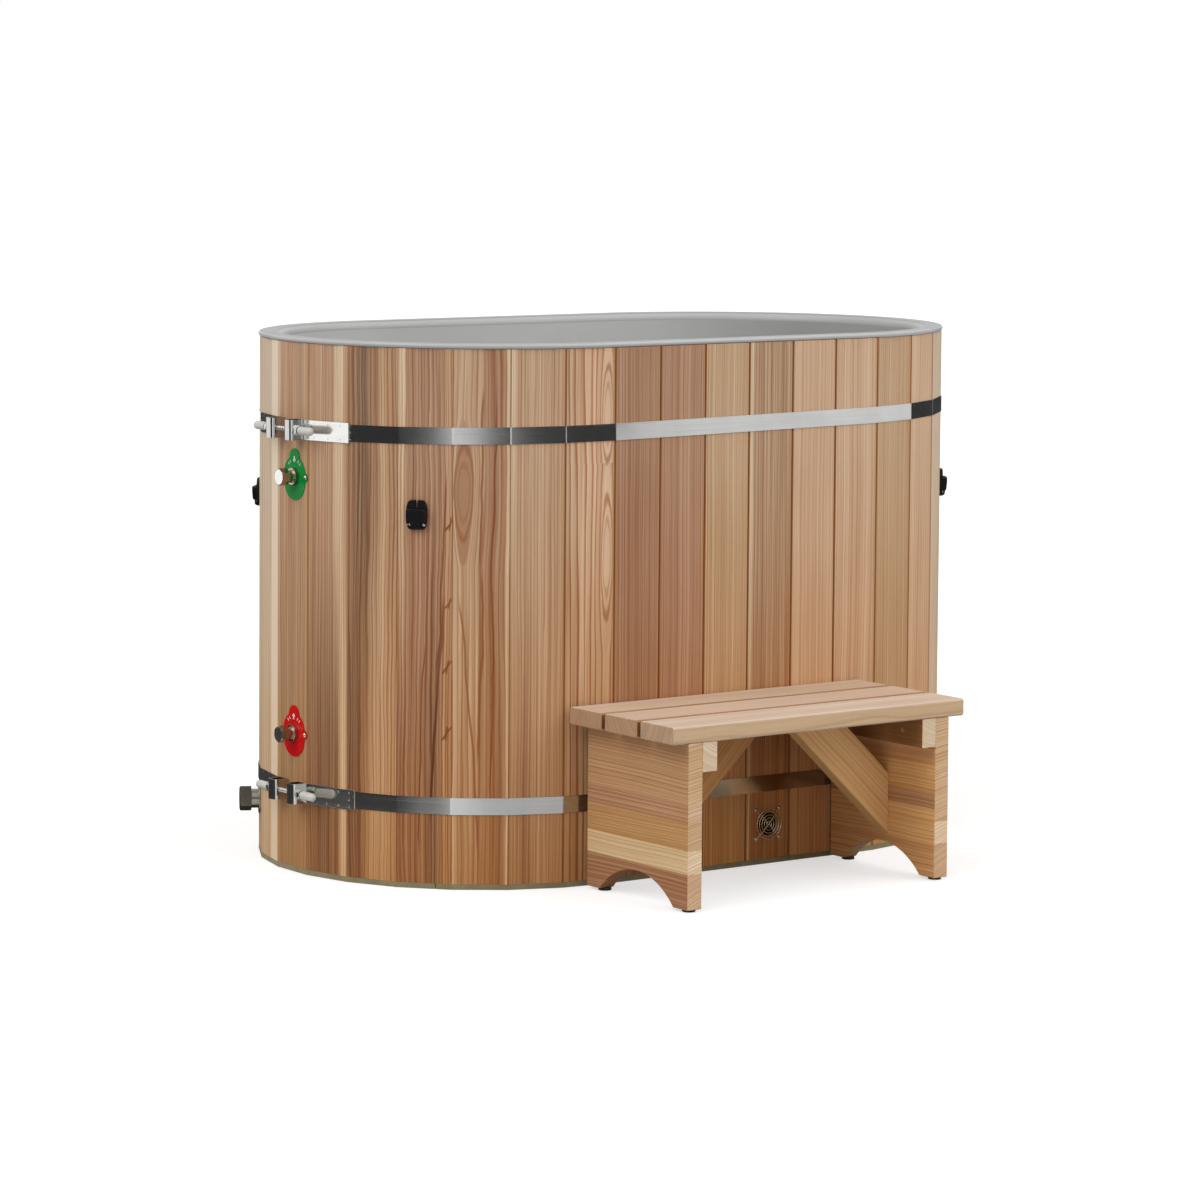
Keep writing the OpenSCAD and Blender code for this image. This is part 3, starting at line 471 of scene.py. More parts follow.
# Materials
WOOD_SPECULAR = 0.12


def material(name):
    """A new material: itself, its helper and its Principled shader."""
    made = bpy.data.materials.new(name)
    made.use_nodes = True
    return made, Nodes(made.node_tree), made.node_tree.nodes["Principled BSDF"]


def stops(text, scale=100):
    """Places and shades from a text that names them in turn, with the places in parts of the scale."""
    words = text.split()
    return [(int(place) / scale, shade) for place, shade in zip(words[::2], words[1::2])]


def edged(n, colour):
    """A stave's colour with its edges, the painted shade at its foot and the painted warm light behind the step."""
    joint = n.attribute("board_tone", "Alpha")
    return n.use(stave_edges, Color=colour, Grain=n.attribute("grain_place"), Joint=joint, Place=n.place())[0]


def wood_material(name, streaks, ring_width, sway, gain=None, boards=None, sapwood=CREAM, joints=False):
    """Solid wood. gain tints it, and on several of the step's faces and on the carcass that tint is painted light or
    shade; boards gives the lower edges in millimetres and the shades of glued boards.
    """
    made, n, shader = material(name)
    traits, tone = n.attribute("grain_traits"), n.attribute("board_tone", "Color")
    if boards:
        boards, ramp_top = stops(boards, 1000), 3.0
        level = n.split(n.place())[2]
        shift = total([n.math("GREATER_THAN", level, low) for low, _ in boards[1:]])
        traits = n.vmath("ADD", traits, n.join(shift * 5.3, 0.0, 0.0))
        tone = n.ramp(level * ramp_top, [(ramp_top * low, shade) for low, shade in boards], "CONSTANT")
    colour, rough, height = n.use(
        wood_grain, Grain=n.attribute("grain_place"), Cut=n.attribute("grain_cut"), Traits=traits, Tone=tone,
        Sapwood=sapwood, Streaks=streaks, Ring_Width=ring_width, Sway=sway)
    if gain:
        colour = n.tinted(colour, gain)
    if joints:
        colour = edged(n, colour)
    n.fill(shader, Base_Color=colour, Roughness=rough, Normal=n.bump(height, 0.00035, 0.6),
           Specular_IOR_Level=WOOD_SPECULAR)
    return made


def figured_stave(name, top, foot, seed, count, lines, sway=0.03, ovals=(), veins=(), flicks=()):
    """One stave's own figure: shades from its left to its right edge, at the top and at the foot, and its marks."""
    made, n, shader = material(name)
    across, height = n.use(stave_place, Grain=n.attribute("grain_place"), Seed=seed, Sway=sway)
    bent, marks = across, []

    def vein(upper, lower, width, strength):
        line, = n.use(stave_vein, Across=across, Height=height, Upper=(*upper, 0), Lower=(*lower, 0), Width=width)
        marks.append((line, strength))

    for centre, size in ovals:
        line, round_it = n.use(stave_oval, Across=across, Height=height, Centre=(*centre, 0), Size=(*size, 0))
        near = n.math("LESS_THAN", abs(height - centre[1]), size[1] * 1.58)
        bent = n.mix_value(near, bent, round_it)
        marks.append((line, 0.75))
    spread, line, fibre = n.use(stave_lines, Across=bent, Height=height, Seed=seed, Count=count)
    # Where the foot shades are darker than the top ones, they are partly painted shade.
    base = n.mix(n.remap(height, 0.15, 0.72), n.ramp(across, stops(foot)), n.ramp(across, stops(top)))
    light, dark = n.mix(0.34, base, CREAM), n.tinted(base, (0.64, 0.50, 0.38))
    line_tone = n.tinted(base, (0.48, 0.29, 0.18))
    colour = n.mix(n.remap(spread, -0.42, 0.42, smooth=False), light, dark)
    colour = n.mix(line * (lines * 1.3), colour, line_tone)
    for upper, lower, width in veins:
        vein(upper, lower, width, 0.85)
    for (u, z), size in flicks:
        for lean, width in ((0.09, 0.030), (0.02, 0.020)):
            vein((u + lean, z + size), (u - lean, z - size), width, 1.0)
    for mark, strength in marks:
        colour = n.mix(mark * strength, colour, line_tone)
    n.fill(shader, Base_Color=edged(n, colour), Roughness=n.math("MULTIPLY_ADD", fibre, 0.2, 0.5),
           Normal=n.bump(fibre + line, 0.0003, 0.6), Specular_IOR_Level=WOOD_SPECULAR)
    return made


def metal_material(name, base, dull, rough, bump=0.00002, stretch=(300, 300, 300), contrast=0.10):
    """Brushed or plated metal between two tones."""
    made, n, shader = material(name)
    streaks, scratches, smudges = n.use(brush_marks, Place=n.place(), Stretch=stretch)
    colour = n.mix(n.remap(streaks * 0.6 + smudges * 0.5, 0.3, 0.85), (*base, 1), (*dull, 1))
    spread = (streaks - 0.5) * (contrast * 2) + scratches * 0.06
    n.fill(shader, Base_Color=colour, Metallic=1.0, Roughness=spread + rough, Normal=n.bump(streaks, bump, 0.7))
    return made


def moulded_material(name, base, other, rough, grain_size=900.0, bump=0.00005, spec=0.5, patch=30.0, deep=1.0):
    """A moulded surface; deep is the share of its tone left at the tub's right end, where less light gets in."""
    made, n, shader = material(name)
    patches, fine, specks = n.use(surface_unevenness, Place=n.place(), Patch_Size=patch, Grain_Size=grain_size)
    colour = n.mix(n.remap(patches, 0.3, 0.7), rgb(*base), rgb(*other))
    colour = n.mix(specks * 0.15, colour, (0.8, 0.8, 0.8, 1))
    if deep < 1:
        colour = n.mix(n.remap(n.split(n.place())[0], 0.28, 0.62), colour, n.tinted(colour, (deep, deep, deep)))
    n.fill(shader, Base_Color=colour, Roughness=(patches - 0.5) * 0.15 + rough, Normal=n.bump(fine, bump, 0.6),
           Specular_IOR_Level=spec)
    return made


TABLES = {
    # Strength of the colour bands, ring width, sway, tint (painted light or shade where a row says so), glued boards
    wood_material: {
        "stave_cedar": (1.0, 0.0049, 0.35, None, None, CREAM, True),
        "step_cedar": (0.8, 0.0060, 0.6),
        # Its tint is painted shade over the glued boards' own shades.
        "step_left_boards": (0.9, 0.0060, 0.5, (0.94, 0.86, 0.70), "0 rust 62 cream 100 gold 145 rose 178 tan"),
        "step_right_boards": (0.9, 0.0060, 0.5, None, "0 honey 60 gold 120 clay 147 gold 200 tan"),
        # Painted light on the right panel's inner face.
        "step_right_inner": (0.9, 0.0060, 0.5, (1.55, 1.40, 1.10), "0 honey 60 gold 120 brown 147 gold 200 tan"),
        "step_end_grain": (1.0, 0.0050, 0.5, (0.80, 0.70, 0.56), None, SHADES["straw"]),
        # The tread's front edge: its own golden tone, brightened by painted light.
        "step_front_edge": (0.7, 0.0085, 0.8, (1.10, 1.04, 0.86), None, SHADES["gold"]),
        # Lit and shaded copies of one wood: painted light on the right brace, painted shade on the left one.
        "step_brace_light": (0.8, 0.0070, 0.8, (1.50, 1.46, 1.28)),
        "step_brace_dark": (0.8, 0.0060, 0.8, (0.85, 0.66, 0.45)),
        # Painted shade for sides between and under boards.
        "step_shaded_side": (0.8, 0.0060, 0.8, (0.42, 0.25, 0.13)),
        # Painted shade on the rounded edges at the seams.
        "step_seam": (0.8, 0.0060, 0.8, (0.62, 0.46, 0.32)),
        "step_pale_ends": (0.8, 0.0050, 0.4, (1.15, 1.12, 1.06), "0 pale 62 cream 100 straw 145 pale 178 straw"),
        # Painted near-black shade on the hidden carcass inside the tub.
        "carcass_wood": (0.8, 0.006, 1.0, (0.10, 0.08, 0.06), None, rgb(215, 190, 150)),
    },
    # Bright tone, dull tone, roughness, bump, stretch of the brush marks, contrast
    metal_material: {
        "band_steel": ((0.51, 0.51, 0.50), (0.41, 0.41, 0.40), 0.15, 0.00002, (6, 6, 1400), 0.05),
        "plate_steel": ((0.80, 0.80, 0.77), (0.66, 0.66, 0.63), 0.14, 0.00002, (6, 6, 1400), 0.06),
        "lug_steel": ((0.60, 0.60, 0.59), (0.44, 0.44, 0.43), 0.12, 0.00002, (900, 900, 6)),
        "bolt_steel": ((0.62, 0.62, 0.60), (0.44, 0.44, 0.42), 0.16, 0.00002, (400, 400, 400)),
        "port_chrome": ((0.80, 0.79, 0.77), (0.70, 0.69, 0.67), 0.10, 0.000004),
        # Painted dark brown shade and reflection for the sides of chrome fittings.
        "port_sides": ((0.46, 0.38, 0.30), (0.34, 0.27, 0.20), 0.09, 0.000004),
        "drain_bronze": ((0.34, 0.31, 0.26), (0.22, 0.20, 0.17), 0.22),
        # The wire's warm tone is a painted reflection of the wood around it.
        "guard_wire": ((0.88, 0.78, 0.64), (0.74, 0.64, 0.50), 0.24),
        # Painted near-black shade for the drain cap's sides.
        "drain_sides": ((0.09, 0.08, 0.065), (0.05, 0.045, 0.035), 0.16),
    },
    # Two screen tones, roughness, grain, bump, specular level, patch size, share of tone left at the right end as
    # painted shade
    moulded_material: {
        "vinyl": ((206, 206, 200), (192, 191, 184), 0.35, 600, 0.00002),
        "green_enamel": ((4, 138, 54), (3, 122, 46), 0.24, 500, 0.00001, 0.06),
        "red_enamel": ((206, 12, 10), (190, 8, 8), 0.24, 500, 0.00001, 0.15),
        "mark_paint": ((214, 222, 214), (196, 206, 196), 0.5, 700, 0.00001, 0.2),
        "seal_rubber": ((34, 34, 34), (28, 28, 28), 0.6, 800),
        "liner_plastic": ((198, 198, 196), (190, 190, 188), 0.33, 500, 0.00003, 0.5, 3.0, 0.62),
        # Painted shade: darker copies of the liner's plastic for the bend into the tub, the rim's top and its outer
        # edge.
        "liner_bend": ((172, 172, 170), (166, 166, 164), 0.4, 500, 0.00003, 0.35, 3.0),
        "liner_lip": ((138, 139, 140), (132, 133, 134), 0.4, 500, 0.00003, 0.35, 3.0),
        "liner_edge": ((181, 181, 180), (174, 174, 173), 0.35, 500, 0.00003, 0.4, 3.0),
        "fitting_plastic": ((212, 212, 208), (204, 204, 200), 0.3, 700),
        "clip_plastic": ((9, 9, 9), (5, 5, 5), 0.42, 1500, 0.0001, 0.2),
        "sill_plastic": ((136, 125, 92), (121, 110, 80), 0.6, 500),
        "base_plastic": ((92, 90, 84), (80, 78, 72), 0.6, 500),
        "foam": ((34, 34, 36), (26, 26, 28), 0.9, 250, 0.0006),
        "pad_rubber": ((58, 44, 40), (48, 36, 32), 0.7, 800),
    },
}
FINISH = {name: kind(name, *values) for kind, table in TABLES.items() for name, values in table.items()}

# Staves with a figure of their own, seen from the front left: shades at the top and at the foot with their places
# in hundredths of the width, seed, lines across, strength of the lines, sway, ovals, veins and flicks
# Where a stave's foot shades are darker than its top ones, they are partly its own streaks and partly painted shade.
FIGURES = {
    30: ("stave_wood_a", "0 cream 9 pink 50 tan 82 grey 90 straw 100 straw",
         "0 straw 8 dun 50 dun 85 olive 100 dun", 3.1, 16, 0.35),
    31: ("stave_wood_b", "0 honey 6 tan 45 pink 62 tan 69 cream 80 cream 86 pale 100 honey",
         "0 brown 50 umber 78 brown 86 cream 95 cream 100 tan", 7.7, 17, 0.35),
    32: ("stave_wood_c", "0 clay 10 brown 25 umber 36 umber 46 brown 60 clay 70 straw 80 honey 90 clay 100 straw",
         "0 umber 30 brown 42 straw 60 pale 85 straw 92 honey 100 pale", 12.9, 13, 0.5, 0.045),
    33: ("stave_wood_d", "0 cream 13 cream 19 rose 35 clay 50 rose 66 clay 84 rose 90 honey 100 tan",
         "0 rose 12 rust 30 clay 52 clay 68 umber 82 clay 90 honey 100 honey", 21.3, 15, 0.5, 0.05, (),
         (((0.86, 0.50), (0.62, 0.10), 0.035), ((0.90, 0.70), (0.74, 0.34), 0.025), ((0.50, 0.42), (0.42, 0.05), 0.02)),
         (((0.94, 0.607), 0.013), ((0.95, 0.476), 0.010), ((0.93, 0.370), 0.013), ((0.94, 0.260), 0.013))),
    34: ("stave_wood_e", "0 pale 30 pale 50 tan 68 rose 80 clay 90 honey 94 cream 100 cream",
         "0 pale 35 pale 55 tan 66 honey 86 clay 92 tan 95 cream 100 cream", 28.4, 9, 0.45, 0.035,
         (((0.20, 0.659), (0.15, 0.076)),),
         (((0.52, 0.84), (0.50, 0.52), 0.03), ((0.56, 0.54), (0.44, 0.20), 0.035),
          ((0.12, 0.50), (0.50, 0.04), 0.03), ((0.74, 0.86), (0.68, 0.10), 0.025))),
    35: ("stave_wood_f", "0 cream 5 cream 12 pale 50 pale 100 tan",
         "0 honey 10 pale 28 clay 50 pale 100 tan", 33.8, 17, 0.35, 0.015),
    3: ("stave_wood_h", "0 cream 6 cream 12 grey 50 olive 100 grey",
        "0 cream 5 cream 10 olive 30 clay 50 olive 100 honey", 47.2, 17, 0.4, 0.02),
    36: ("stave_wood_g", "0 pale 40 shell 70 shell 100 bisque", "0 tan 40 pale 75 straw 100 tan", 41.7, 7, 0.75, 0.02,
         (((0.84, 0.784), (0.11, 0.078)), ((0.84, 0.546), (0.11, 0.100)))),
}
FINISH.update({values[0]: figured_stave(*values) for values in FIGURES.values()})


# Mesh helpers
def mesh_of(node):
    """A merged copy of a node's mesh, with flat areas joined."""
    bm = bmesh.new()
    bm.from_mesh(frame["nodes"][node].data)
    bmesh.ops.remove_doubles(bm, verts=bm.verts, dist=2e-6)
    bmesh.ops.dissolve_limit(bm, angle_limit=radians(0.6), verts=bm.verts, edges=bm.edges)
    return bm


def islands(bm):
    """The separate solids of a mesh, as lists of vertices."""
    left, groups = set(bm.verts), []
    for first in bm.verts:
        if first in left:
            left.remove(first)
            groups.append([first])
            for v in groups[-1]:
                near = [e.other_vert(v) for e in v.link_edges]
                groups[-1] += [w for w in near if w in left]
                left.difference_update(near)
    return groups


def middle_of(group):
    return sum((v.co for v in group), Vector()) / len(group)


def new_piece(name, bm, *finishes):
    mesh = bpy.data.meshes.new(name)
    bm.to_mesh(mesh)
    bm.free()
    for finish in finishes:
        mesh.materials.append(FINISH[finish])
    return placed(name, mesh)


def evaluated(piece):
    return bpy.data.meshes.new_from_object(piece.evaluated_get(bpy.context.evaluated_depsgraph_get()))


def applied(piece):
    if piece.modifiers:
        mesh = evaluated(piece)
        piece.modifiers.clear()
        piece.data = mesh


def finished(piece, sharp=35, even=True):
    """Applies a piece's modifiers and shades it smooth up to an angle; even keeps large faces flat."""
    applied(piece)
    for face in piece.data.polygons:
        face.use_smooth = True
    piece.data.set_sharp_from_angle(angle=radians(sharp))
    if even:
        lean = piece.modifiers.new("even", "WEIGHTED_NORMAL")
        lean.keep_sharp, lean.weight = True, 80
        applied(piece)
    return piece


def soften(piece, width, segments=2, angle=25):
    edge = piece.modifiers.new("rounding", "BEVEL")
    edge.width, edge.segments = width, segments
    edge.limit_method, edge.angle_limit = "ANGLE", radians(angle)
    edge.use_clamp_overlap = True
    edge.miter_outer = "MITER_ARC"


def ride_as(piece, node):
    """Ties a piece to a node's body and looks up the node's slot, which it doesn't use."""
    bodies, subparts = frame["record"]["behaviour"]["bodies"], frame["record"]["subparts"]
    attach(piece, next(body for body, members in bodies.items() if node in members))
    next(s["material_slot"] for s in subparts if s["node"] == node)


def stand_in(piece, node):
    """Ties a finished piece to the body of the node that it replaces."""
    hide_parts(node)
    ride_as(piece, node)


def shaped(node, finishes, width, pick=None):
    """A node's own shape with rounded edges; pick tells which of the finishes a face gets."""
    bm = mesh_of(node)
    if pick:
        bm.normal_update()
        for face in bm.faces:
            face.material_index = int(pick(face))
    piece = new_piece(node + "_finished", bm, *finishes)
    if width:
        soften(piece, width)
    stand_in(finished(piece), node)


# Wood: each board has a tone, the pith's place beside and behind it, the taper, a seed, the strength of its rings
# and the distance from the pith at which sapwood starts
NO_SAP = 9.0


def grain_layers(bm):
    vectors = [bm.verts.layers.float_vector.new("grain_" + name) for name in ("place", "cut", "traits")]
    return *vectors, bm.verts.layers.float_color.new("board_tone")


def paint_board(layers, verts, origin, across, length, tone, cut, traits, joint=1.0):
    """Writes a board's grain frame and traits on its vertices."""
    place, cuts, marks, tones = layers
    depth = across.cross(length)
    for v in verts:
        d = v.co - origin
        v[place] = (d.dot(across), d.dot(length), d.dot(depth))
        v[cuts], v[marks], v[tones] = cut, traits, (*SHADES[tone][:3], joint)


# Staves are counted from the left end of the straight front, as in the part's source: tone, pith and taper,
# strength of the rings, start of the sapwood
STAVE_LOOKS = {
    28: ("ash", (-0.15, 0.05, 0.0), 0.3, NO_SAP), 29: ("ash", (-0.15, 0.05, 0.0), 0.3, 0.165),
    0: ("clay", (0.16, 0.05, 0.0), 0.35, NO_SAP), 1: ("rose", (0.22, 0.06, 0.0), 0.45, NO_SAP),
    2: ("straw", (-0.20, 0.05, 0.0), 0.45, NO_SAP), 4: ("bisque", (0.25, 0.06, 0.0), 0.3, NO_SAP),
    5: ("bisque", (-0.19, 0.05, 0.0), 0.45, NO_SAP), 6: ("straw", (0.21, 0.06, 0.0), 0.35, NO_SAP),
    7: ("bisque", (-0.17, 0.04, 0.0), 0.35, NO_SAP), 8: ("ash", (0.2, 0.04, 0.0), 0.25, NO_SAP),
}
SPARE_TONES = ("tan", "pink", "grey", "rose", "pale", "olive", "honey", "clay")
SOFT_JOINTS = {28: 0.25, 29: 0.35, 30: 0.3, 31: 0.2, 32: 0.2, 33: 0.2, 34: 0.1, 35: 0.8}


def stave_look(i):
    if i in STAVE_LOOKS:
        return STAVE_LOOKS[i]
    side = 1 if i % 2 else -1
    flat_sawn = i % 5 == 3
    cut = (0.015 * side, 0.035, 0.02 * side) if flat_sawn else (side * (0.14 + 0.02 * (i % 4)), 0.05, 0.0)
    return SPARE_TONES[(i * 3) % len(SPARE_TONES)], cut, 0.7 if flat_sawn else 0.15, 0.19 if i % 4 == 2 else NO_SAP


def stave_wall(node):
    bm = mesh_of(node)
    layers = grain_layers(bm)
    finishes = ["stave_cedar"]
    for group in islands(bm):
        middle = middle_of(group)
        middle.z = 0
        i = min(range(STAVES), key=lambda k: (face_mid(k) - out(k) * STAVE_T / 2 - middle).length)
        tone, cut, figure, sap = stave_look(i)
        paint_board(layers, group, face_mid(i), along(i), Vector((0, 0, 1)), tone, cut, (i * 1.37 + 2.0, figure, sap),
                    SOFT_JOINTS.get(i, 1.0))
        faces = {face for v in group for face in v.link_faces}
        if i in FIGURES:
            for face in faces:
                face.material_index = len(finishes)
            finishes.append(FIGURES[i][0])
        # The wall of the vent's hole gets the black foam finish as painted shade.
        if i == VENT_STAVE:
            for face in faces:
                spot = AT_VENT.inverted() @ face.calc_center_median()
                if hypot(spot.x, spot.z) < VENT_HOLE_R and spot.y > 0.001:
                    face.material_index = len(finishes)
            finishes.append("foam")
    piece = new_piece(node + "_boards", bm, *finishes)
    soften(piece, 0.0007, 2, 20)
    stand_in(finished(piece, 40), node)


for wall in ("staves_front", "staves_right_end", "staves_back", "staves_left_end"):
    stave_wall(wall)


def board(node, length, across, tone, cut, figure, seed, finish="step_cedar", width=0.0012, faces=(), rounds=()):
    """A board from its node; faces gives other finishes to the sides that face a direction, rounds gives a painted
    shade to the rounded edges that face one."""
    bm = mesh_of(node)
    bm.normal_update()
    layers = grain_layers(bm)
    for k, group in enumerate(islands(bm)):
        traits = (seed + 1.7 * k, figure, NO_SAP)
        paint_board(layers, group, middle_of(group), Vector(across), Vector(length), tone, cut, traits)
    for face in bm.faces:
        for k, (direction, _) in enumerate(faces):
            if face.normal.dot(Vector(direction)) > 0.9:
                face.material_index = k + 1
    piece = new_piece(node + "_board", bm, finish, *[other for _, other in faces])
    soften(piece, width, 2, 20)
    finished(piece, 40)
    if rounds:
        piece.data.materials.append(FINISH["step_seam"])
        for face in piece.data.polygons:
            if any(0.25 < face.normal.dot(Vector(way)) < 0.985 and 0.15 < face.normal.z < 0.985 for way in rounds):
                face.material_index = len(faces) + 1
    stand_in(piece, node)


X, Y, Z = (1, 0, 0), (0, 1, 0), (0, 0, 1)
LEFT, RIGHT, FRONT, BACK = (-1, 0, 0), (1, 0, 0), (0, -1, 0), (0, 1, 0)
ENDS = ((LEFT, "step_end_grain"), (RIGHT, "step_end_grain"))
# The tread boards' walls at the seams get painted shade.
SEAMS = ((FRONT, "step_shaded_side"), (BACK, "step_shaded_side"))
PALE_ENDS = (FRONT, "step_pale_ends")
SLOPE = radians(43)
C, S = cos(SLOPE), sin(SLOPE)
# Some boards' faces and rounded edges get finishes with painted light or shade.
for values in (
        ("step_board_front", X, Y, "petal", (0.10, 0.05, 0.02), 0.45, 3.1, "step_cedar", 0.002,
         ENDS + SEAMS[1:] + ((FRONT, "step_front_edge"),), (BACK,)),
        ("step_board_middle", X, Y, "blush", (-0.11, 0.06, -0.02), 0.35, 7.7, "step_cedar", 0.002, ENDS + SEAMS,
         (FRONT, BACK)),
        ("step_board_back", X, Y, "fawn", (0.14, 0.05, 0.0), 0.25, 12.2, "step_cedar", 0.002, ENDS + SEAMS[:1],
         (FRONT,)),
        ("step_panel_left", Y, Z, "tan", (-0.12, 0.05, 0.03), 0.6, 21.0, "step_left_boards", 0.0012, (PALE_ENDS,)),
        ("step_panel_right", Y, Z, "tan", (-0.14, 0.06, 0.03), 0.6, 27.0, "step_right_boards", 0.0012,
         (PALE_ENDS, (LEFT, "step_right_inner"))),
        ("step_cleat_left", Y, Z, "cream", (0.08, 0.04, 0.0), 0.3, 31.0),
        ("step_cleat_right", Y, Z, "cream", (0.08, 0.04, 0.0), 0.3, 35.0, "step_cedar", 0.0012,
         ((LEFT, "step_shaded_side"),)),
        ("step_brace_left", (-C, 0, -S), (S, 0, -C), "gold", (0.09, 0.05, 0.02), 0.35, 41.0, "step_brace_dark"),
        ("step_brace_right", (C, 0, -S), (S, 0, C), "gold", (0.09, 0.05, 0.02), 0.35, 47.0, "step_brace_light"),
        ("joists", Y, X, "tan", (0.1, 0.05, 0.0), 0.4, 51.0, "carcass_wood"),
        ("floor_board", X, Y, "pale", (0.4, 0.1, 0.0), 0.3, 57.0, "carcass_wood")):
    board(*values)


# Geometry node helpers
FACE_OUT = (pi / 2, 0, 0)


def closed(n, geometry, finish):
    """Every tree ends in real geometry that carries its material."""
    real = n.make("GeometryNodeRealizeInstances", Geometry=geometry)
    return n.make("GeometryNodeSetMaterial", Geometry=real, Material=finish)


def seeds(name, places):
    """A mesh of points, each with the frame that a repeated detail takes: a matrix whose -Y faces out."""
    holder = placed_mesh(name, [m.translation for m in places])
    facing = holder.data.attributes.new("facing", "FLOAT_VECTOR", "POINT")
    for k, m in enumerate(places):
        facing.data[k].vector = m.to_euler()
    return holder


def grown(holder, tree, finish, sharp=35, even=True, **sizes):
    """Runs a tree on an object with the values given and turns the result into a plain mesh."""
    values = {"Finish": FINISH[finish], **{key.replace("_", " "): size for key, size in sizes.items()}}
    modifier = holder.modifiers.new("grow", "NODES")
    modifier.node_group = tree
    for item in tree.interface.items_tree:
        if item.item_type == "SOCKET" and item.in_out == "INPUT" and item.name in values:
            modifier[item.identifier] = values[item.name]
    mesh = evaluated(holder)
    holder.modifiers.clear()
    holder.data = mesh
    mesh.materials.clear()
    mesh.materials.append(FINISH[finish])
    mesh.polygons.foreach_set("material_index", [0] * len(mesh.polygons))
    bm = bmesh.new()
    bm.from_mesh(mesh)
    bmesh.ops.remove_doubles(bm, verts=bm.verts, dist=1e-6)
    bm.to_mesh(mesh)
    bm.free()
    return finished(holder, sharp, even)


def on_points(n, points, shape):
    """The shape at each point, turned as the point's attribute says."""
    facing = n.make("GeometryNodeInputNamedAttribute", {"data_type": "FLOAT_VECTOR"}, Name="facing")
    return n.make("GeometryNodeInstanceOnPoints", Points=points, Instance=shape, Rotation=facing)


def moved(n, geometry, shift=(0, 0, 0), turn=(0, 0, 0), size=(1, 1, 1)):
    return n.make("GeometryNodeTransform", Geometry=geometry, Translation=shift, Rotation=turn, Scale=size)


def raised(n, geometry, z):
    return moved(n, geometry, n.join(0.0, 0.0, z))


def joined(n, *parts):
    node = n.add("GeometryNodeJoinGeometry")
    for part in reversed(parts):
        n.feed(node.inputs[0], part)
    return n.value(node)


def ball(n, segments, rings):
    return n.make("GeometryNodeMeshUVSphere", Segments=segments, Rings=rings, Radius=1.0)


def cylinder(n, sides, radius, depth):
    return n.make("GeometryNodeMeshCylinder", Vertices=sides, Radius=radius, Depth=depth)


def block(n, size):
    return n.make("GeometryNodeMeshCube", Size=size)


def less(n, body, *cuts):
    node = n.fill(n.add("GeometryNodeMeshBoolean", operation="DIFFERENCE", solver="EXACT"), Mesh_1=body)
    for cut in cuts:
        n.fill(node, Mesh_2=cut)
    return n.value(node)


def circle(n, sides, radius):
    return n.make("GeometryNodeCurvePrimitiveCircle", Resolution=sides, Radius=radius)


def swept(n, curve, section):
    return n.make("GeometryNodeCurveToMesh", Curve=curve, Profile_Curve=section, Fill_Caps=True)


def tube(n, curve, radius, sides=10):
    return swept(n, curve, circle(n, sides, radius))


@growing_tree(Head_Radius=0.0038, Head_Height=0.0022, Lift=0.0, Shank_Radius=0.0019, Shank_Length=0.014)
def cross_screws(n, points, radius, height, lift, shank_radius, shank_length, finish):
    """Domed screws with a cross recess and a plain shank, one at each point."""
    head = moved(n, ball(n, 28, 16), size=n.join(radius, radius, height))
    width, narrow = radius * 1.05, radius * 0.24
    cuts = [raised(n, block(n, n.join(a, b, height)), height * 1.12) for a, b in ((width, narrow), (narrow, width))]
    under = moved(n, block(n, (0.02, 0.02, 0.02)), (0, 0, -0.01))
    shank = raised(n, cylinder(n, 16, shank_radius, shank_length), shank_length * -0.5)
    whole = raised(n, joined(n, less(n, head, under, *cuts), shank), lift)
    return closed(n, on_points(n, points, moved(n, whole, turn=FACE_OUT)), finish)


@growing_tree(Length=0.17, Diameter=0.008, Pitch=0.00141)
def threaded_rods(n, points, length, diameter, pitch, finish):
    """Threaded rods along the local X axis, one at each point."""
    wire = pitch * 0.30
    crest = diameter * 0.5 - wire
    spiral = n.make("GeometryNodeCurveSpiral", Resolution=20, Rotations=length / pitch, Start_Radius=crest,
                    End_Radius=crest, Height=length)
    ridge = raised(n, tube(n, spiral, wire, 4), length * -0.5)
    rod = moved(n, joined(n, ridge, cylinder(n, 24, crest, length)), turn=(0, pi / 2, 0))
    return closed(n, on_points(n, points, rod), finish)


@growing_tree(Rings=5, Radius=0.026, Wire=0.0008, Stand_Off=0.005, Corner_Reach=0.03536, Loop_Radius=0.0034)
def wire_guard(n, points, rings, radius, wire, stand_off, reach, loop, finish):
    """A round wire guard: rings on two crossed wires that bend down to a loop at each corner screw."""
    line = n.make("GeometryNodeMeshLine", Count=rings, Offset=(0, 0, 0))
    size = radius * ((n.make("GeometryNodeInputIndex") + 1.0) / rings)
    spots = n.make("GeometryNodeInstanceOnPoints", Points=line, Instance=circle(n, 64, 1.0),
                   Scale=n.join(size, size, size))
    real = n.make("GeometryNodeRealizeInstances", Geometry=spots)
    parts = [raised(n, tube(n, real, wire), stand_off)]
    drop = stand_off - wire
    for k in range(4):
        arm = n.make("GeometryNodeCurvePrimitiveBezierSegment", Resolution=24, Start=n.join(0.0, 0.0, drop),
                     Start_Handle=n.join(radius * 1.16, 0.0, drop), End_Handle=n.join(radius, 0.0, wire),
                     End=n.join(reach - loop, 0.0, wire))
        ring = moved(n, tube(n, circle(n, 28, loop), wire), n.join(reach, 0.0, wire))
        corner = joined(n, tube(n, arm, wire), ring)
        parts.append(moved(n, corner, turn=(0, 0, pi / 4 + k * pi / 2)))
    return closed(n, on_points(n, points, moved(n, joined(n, *parts), turn=FACE_OUT)), finish)


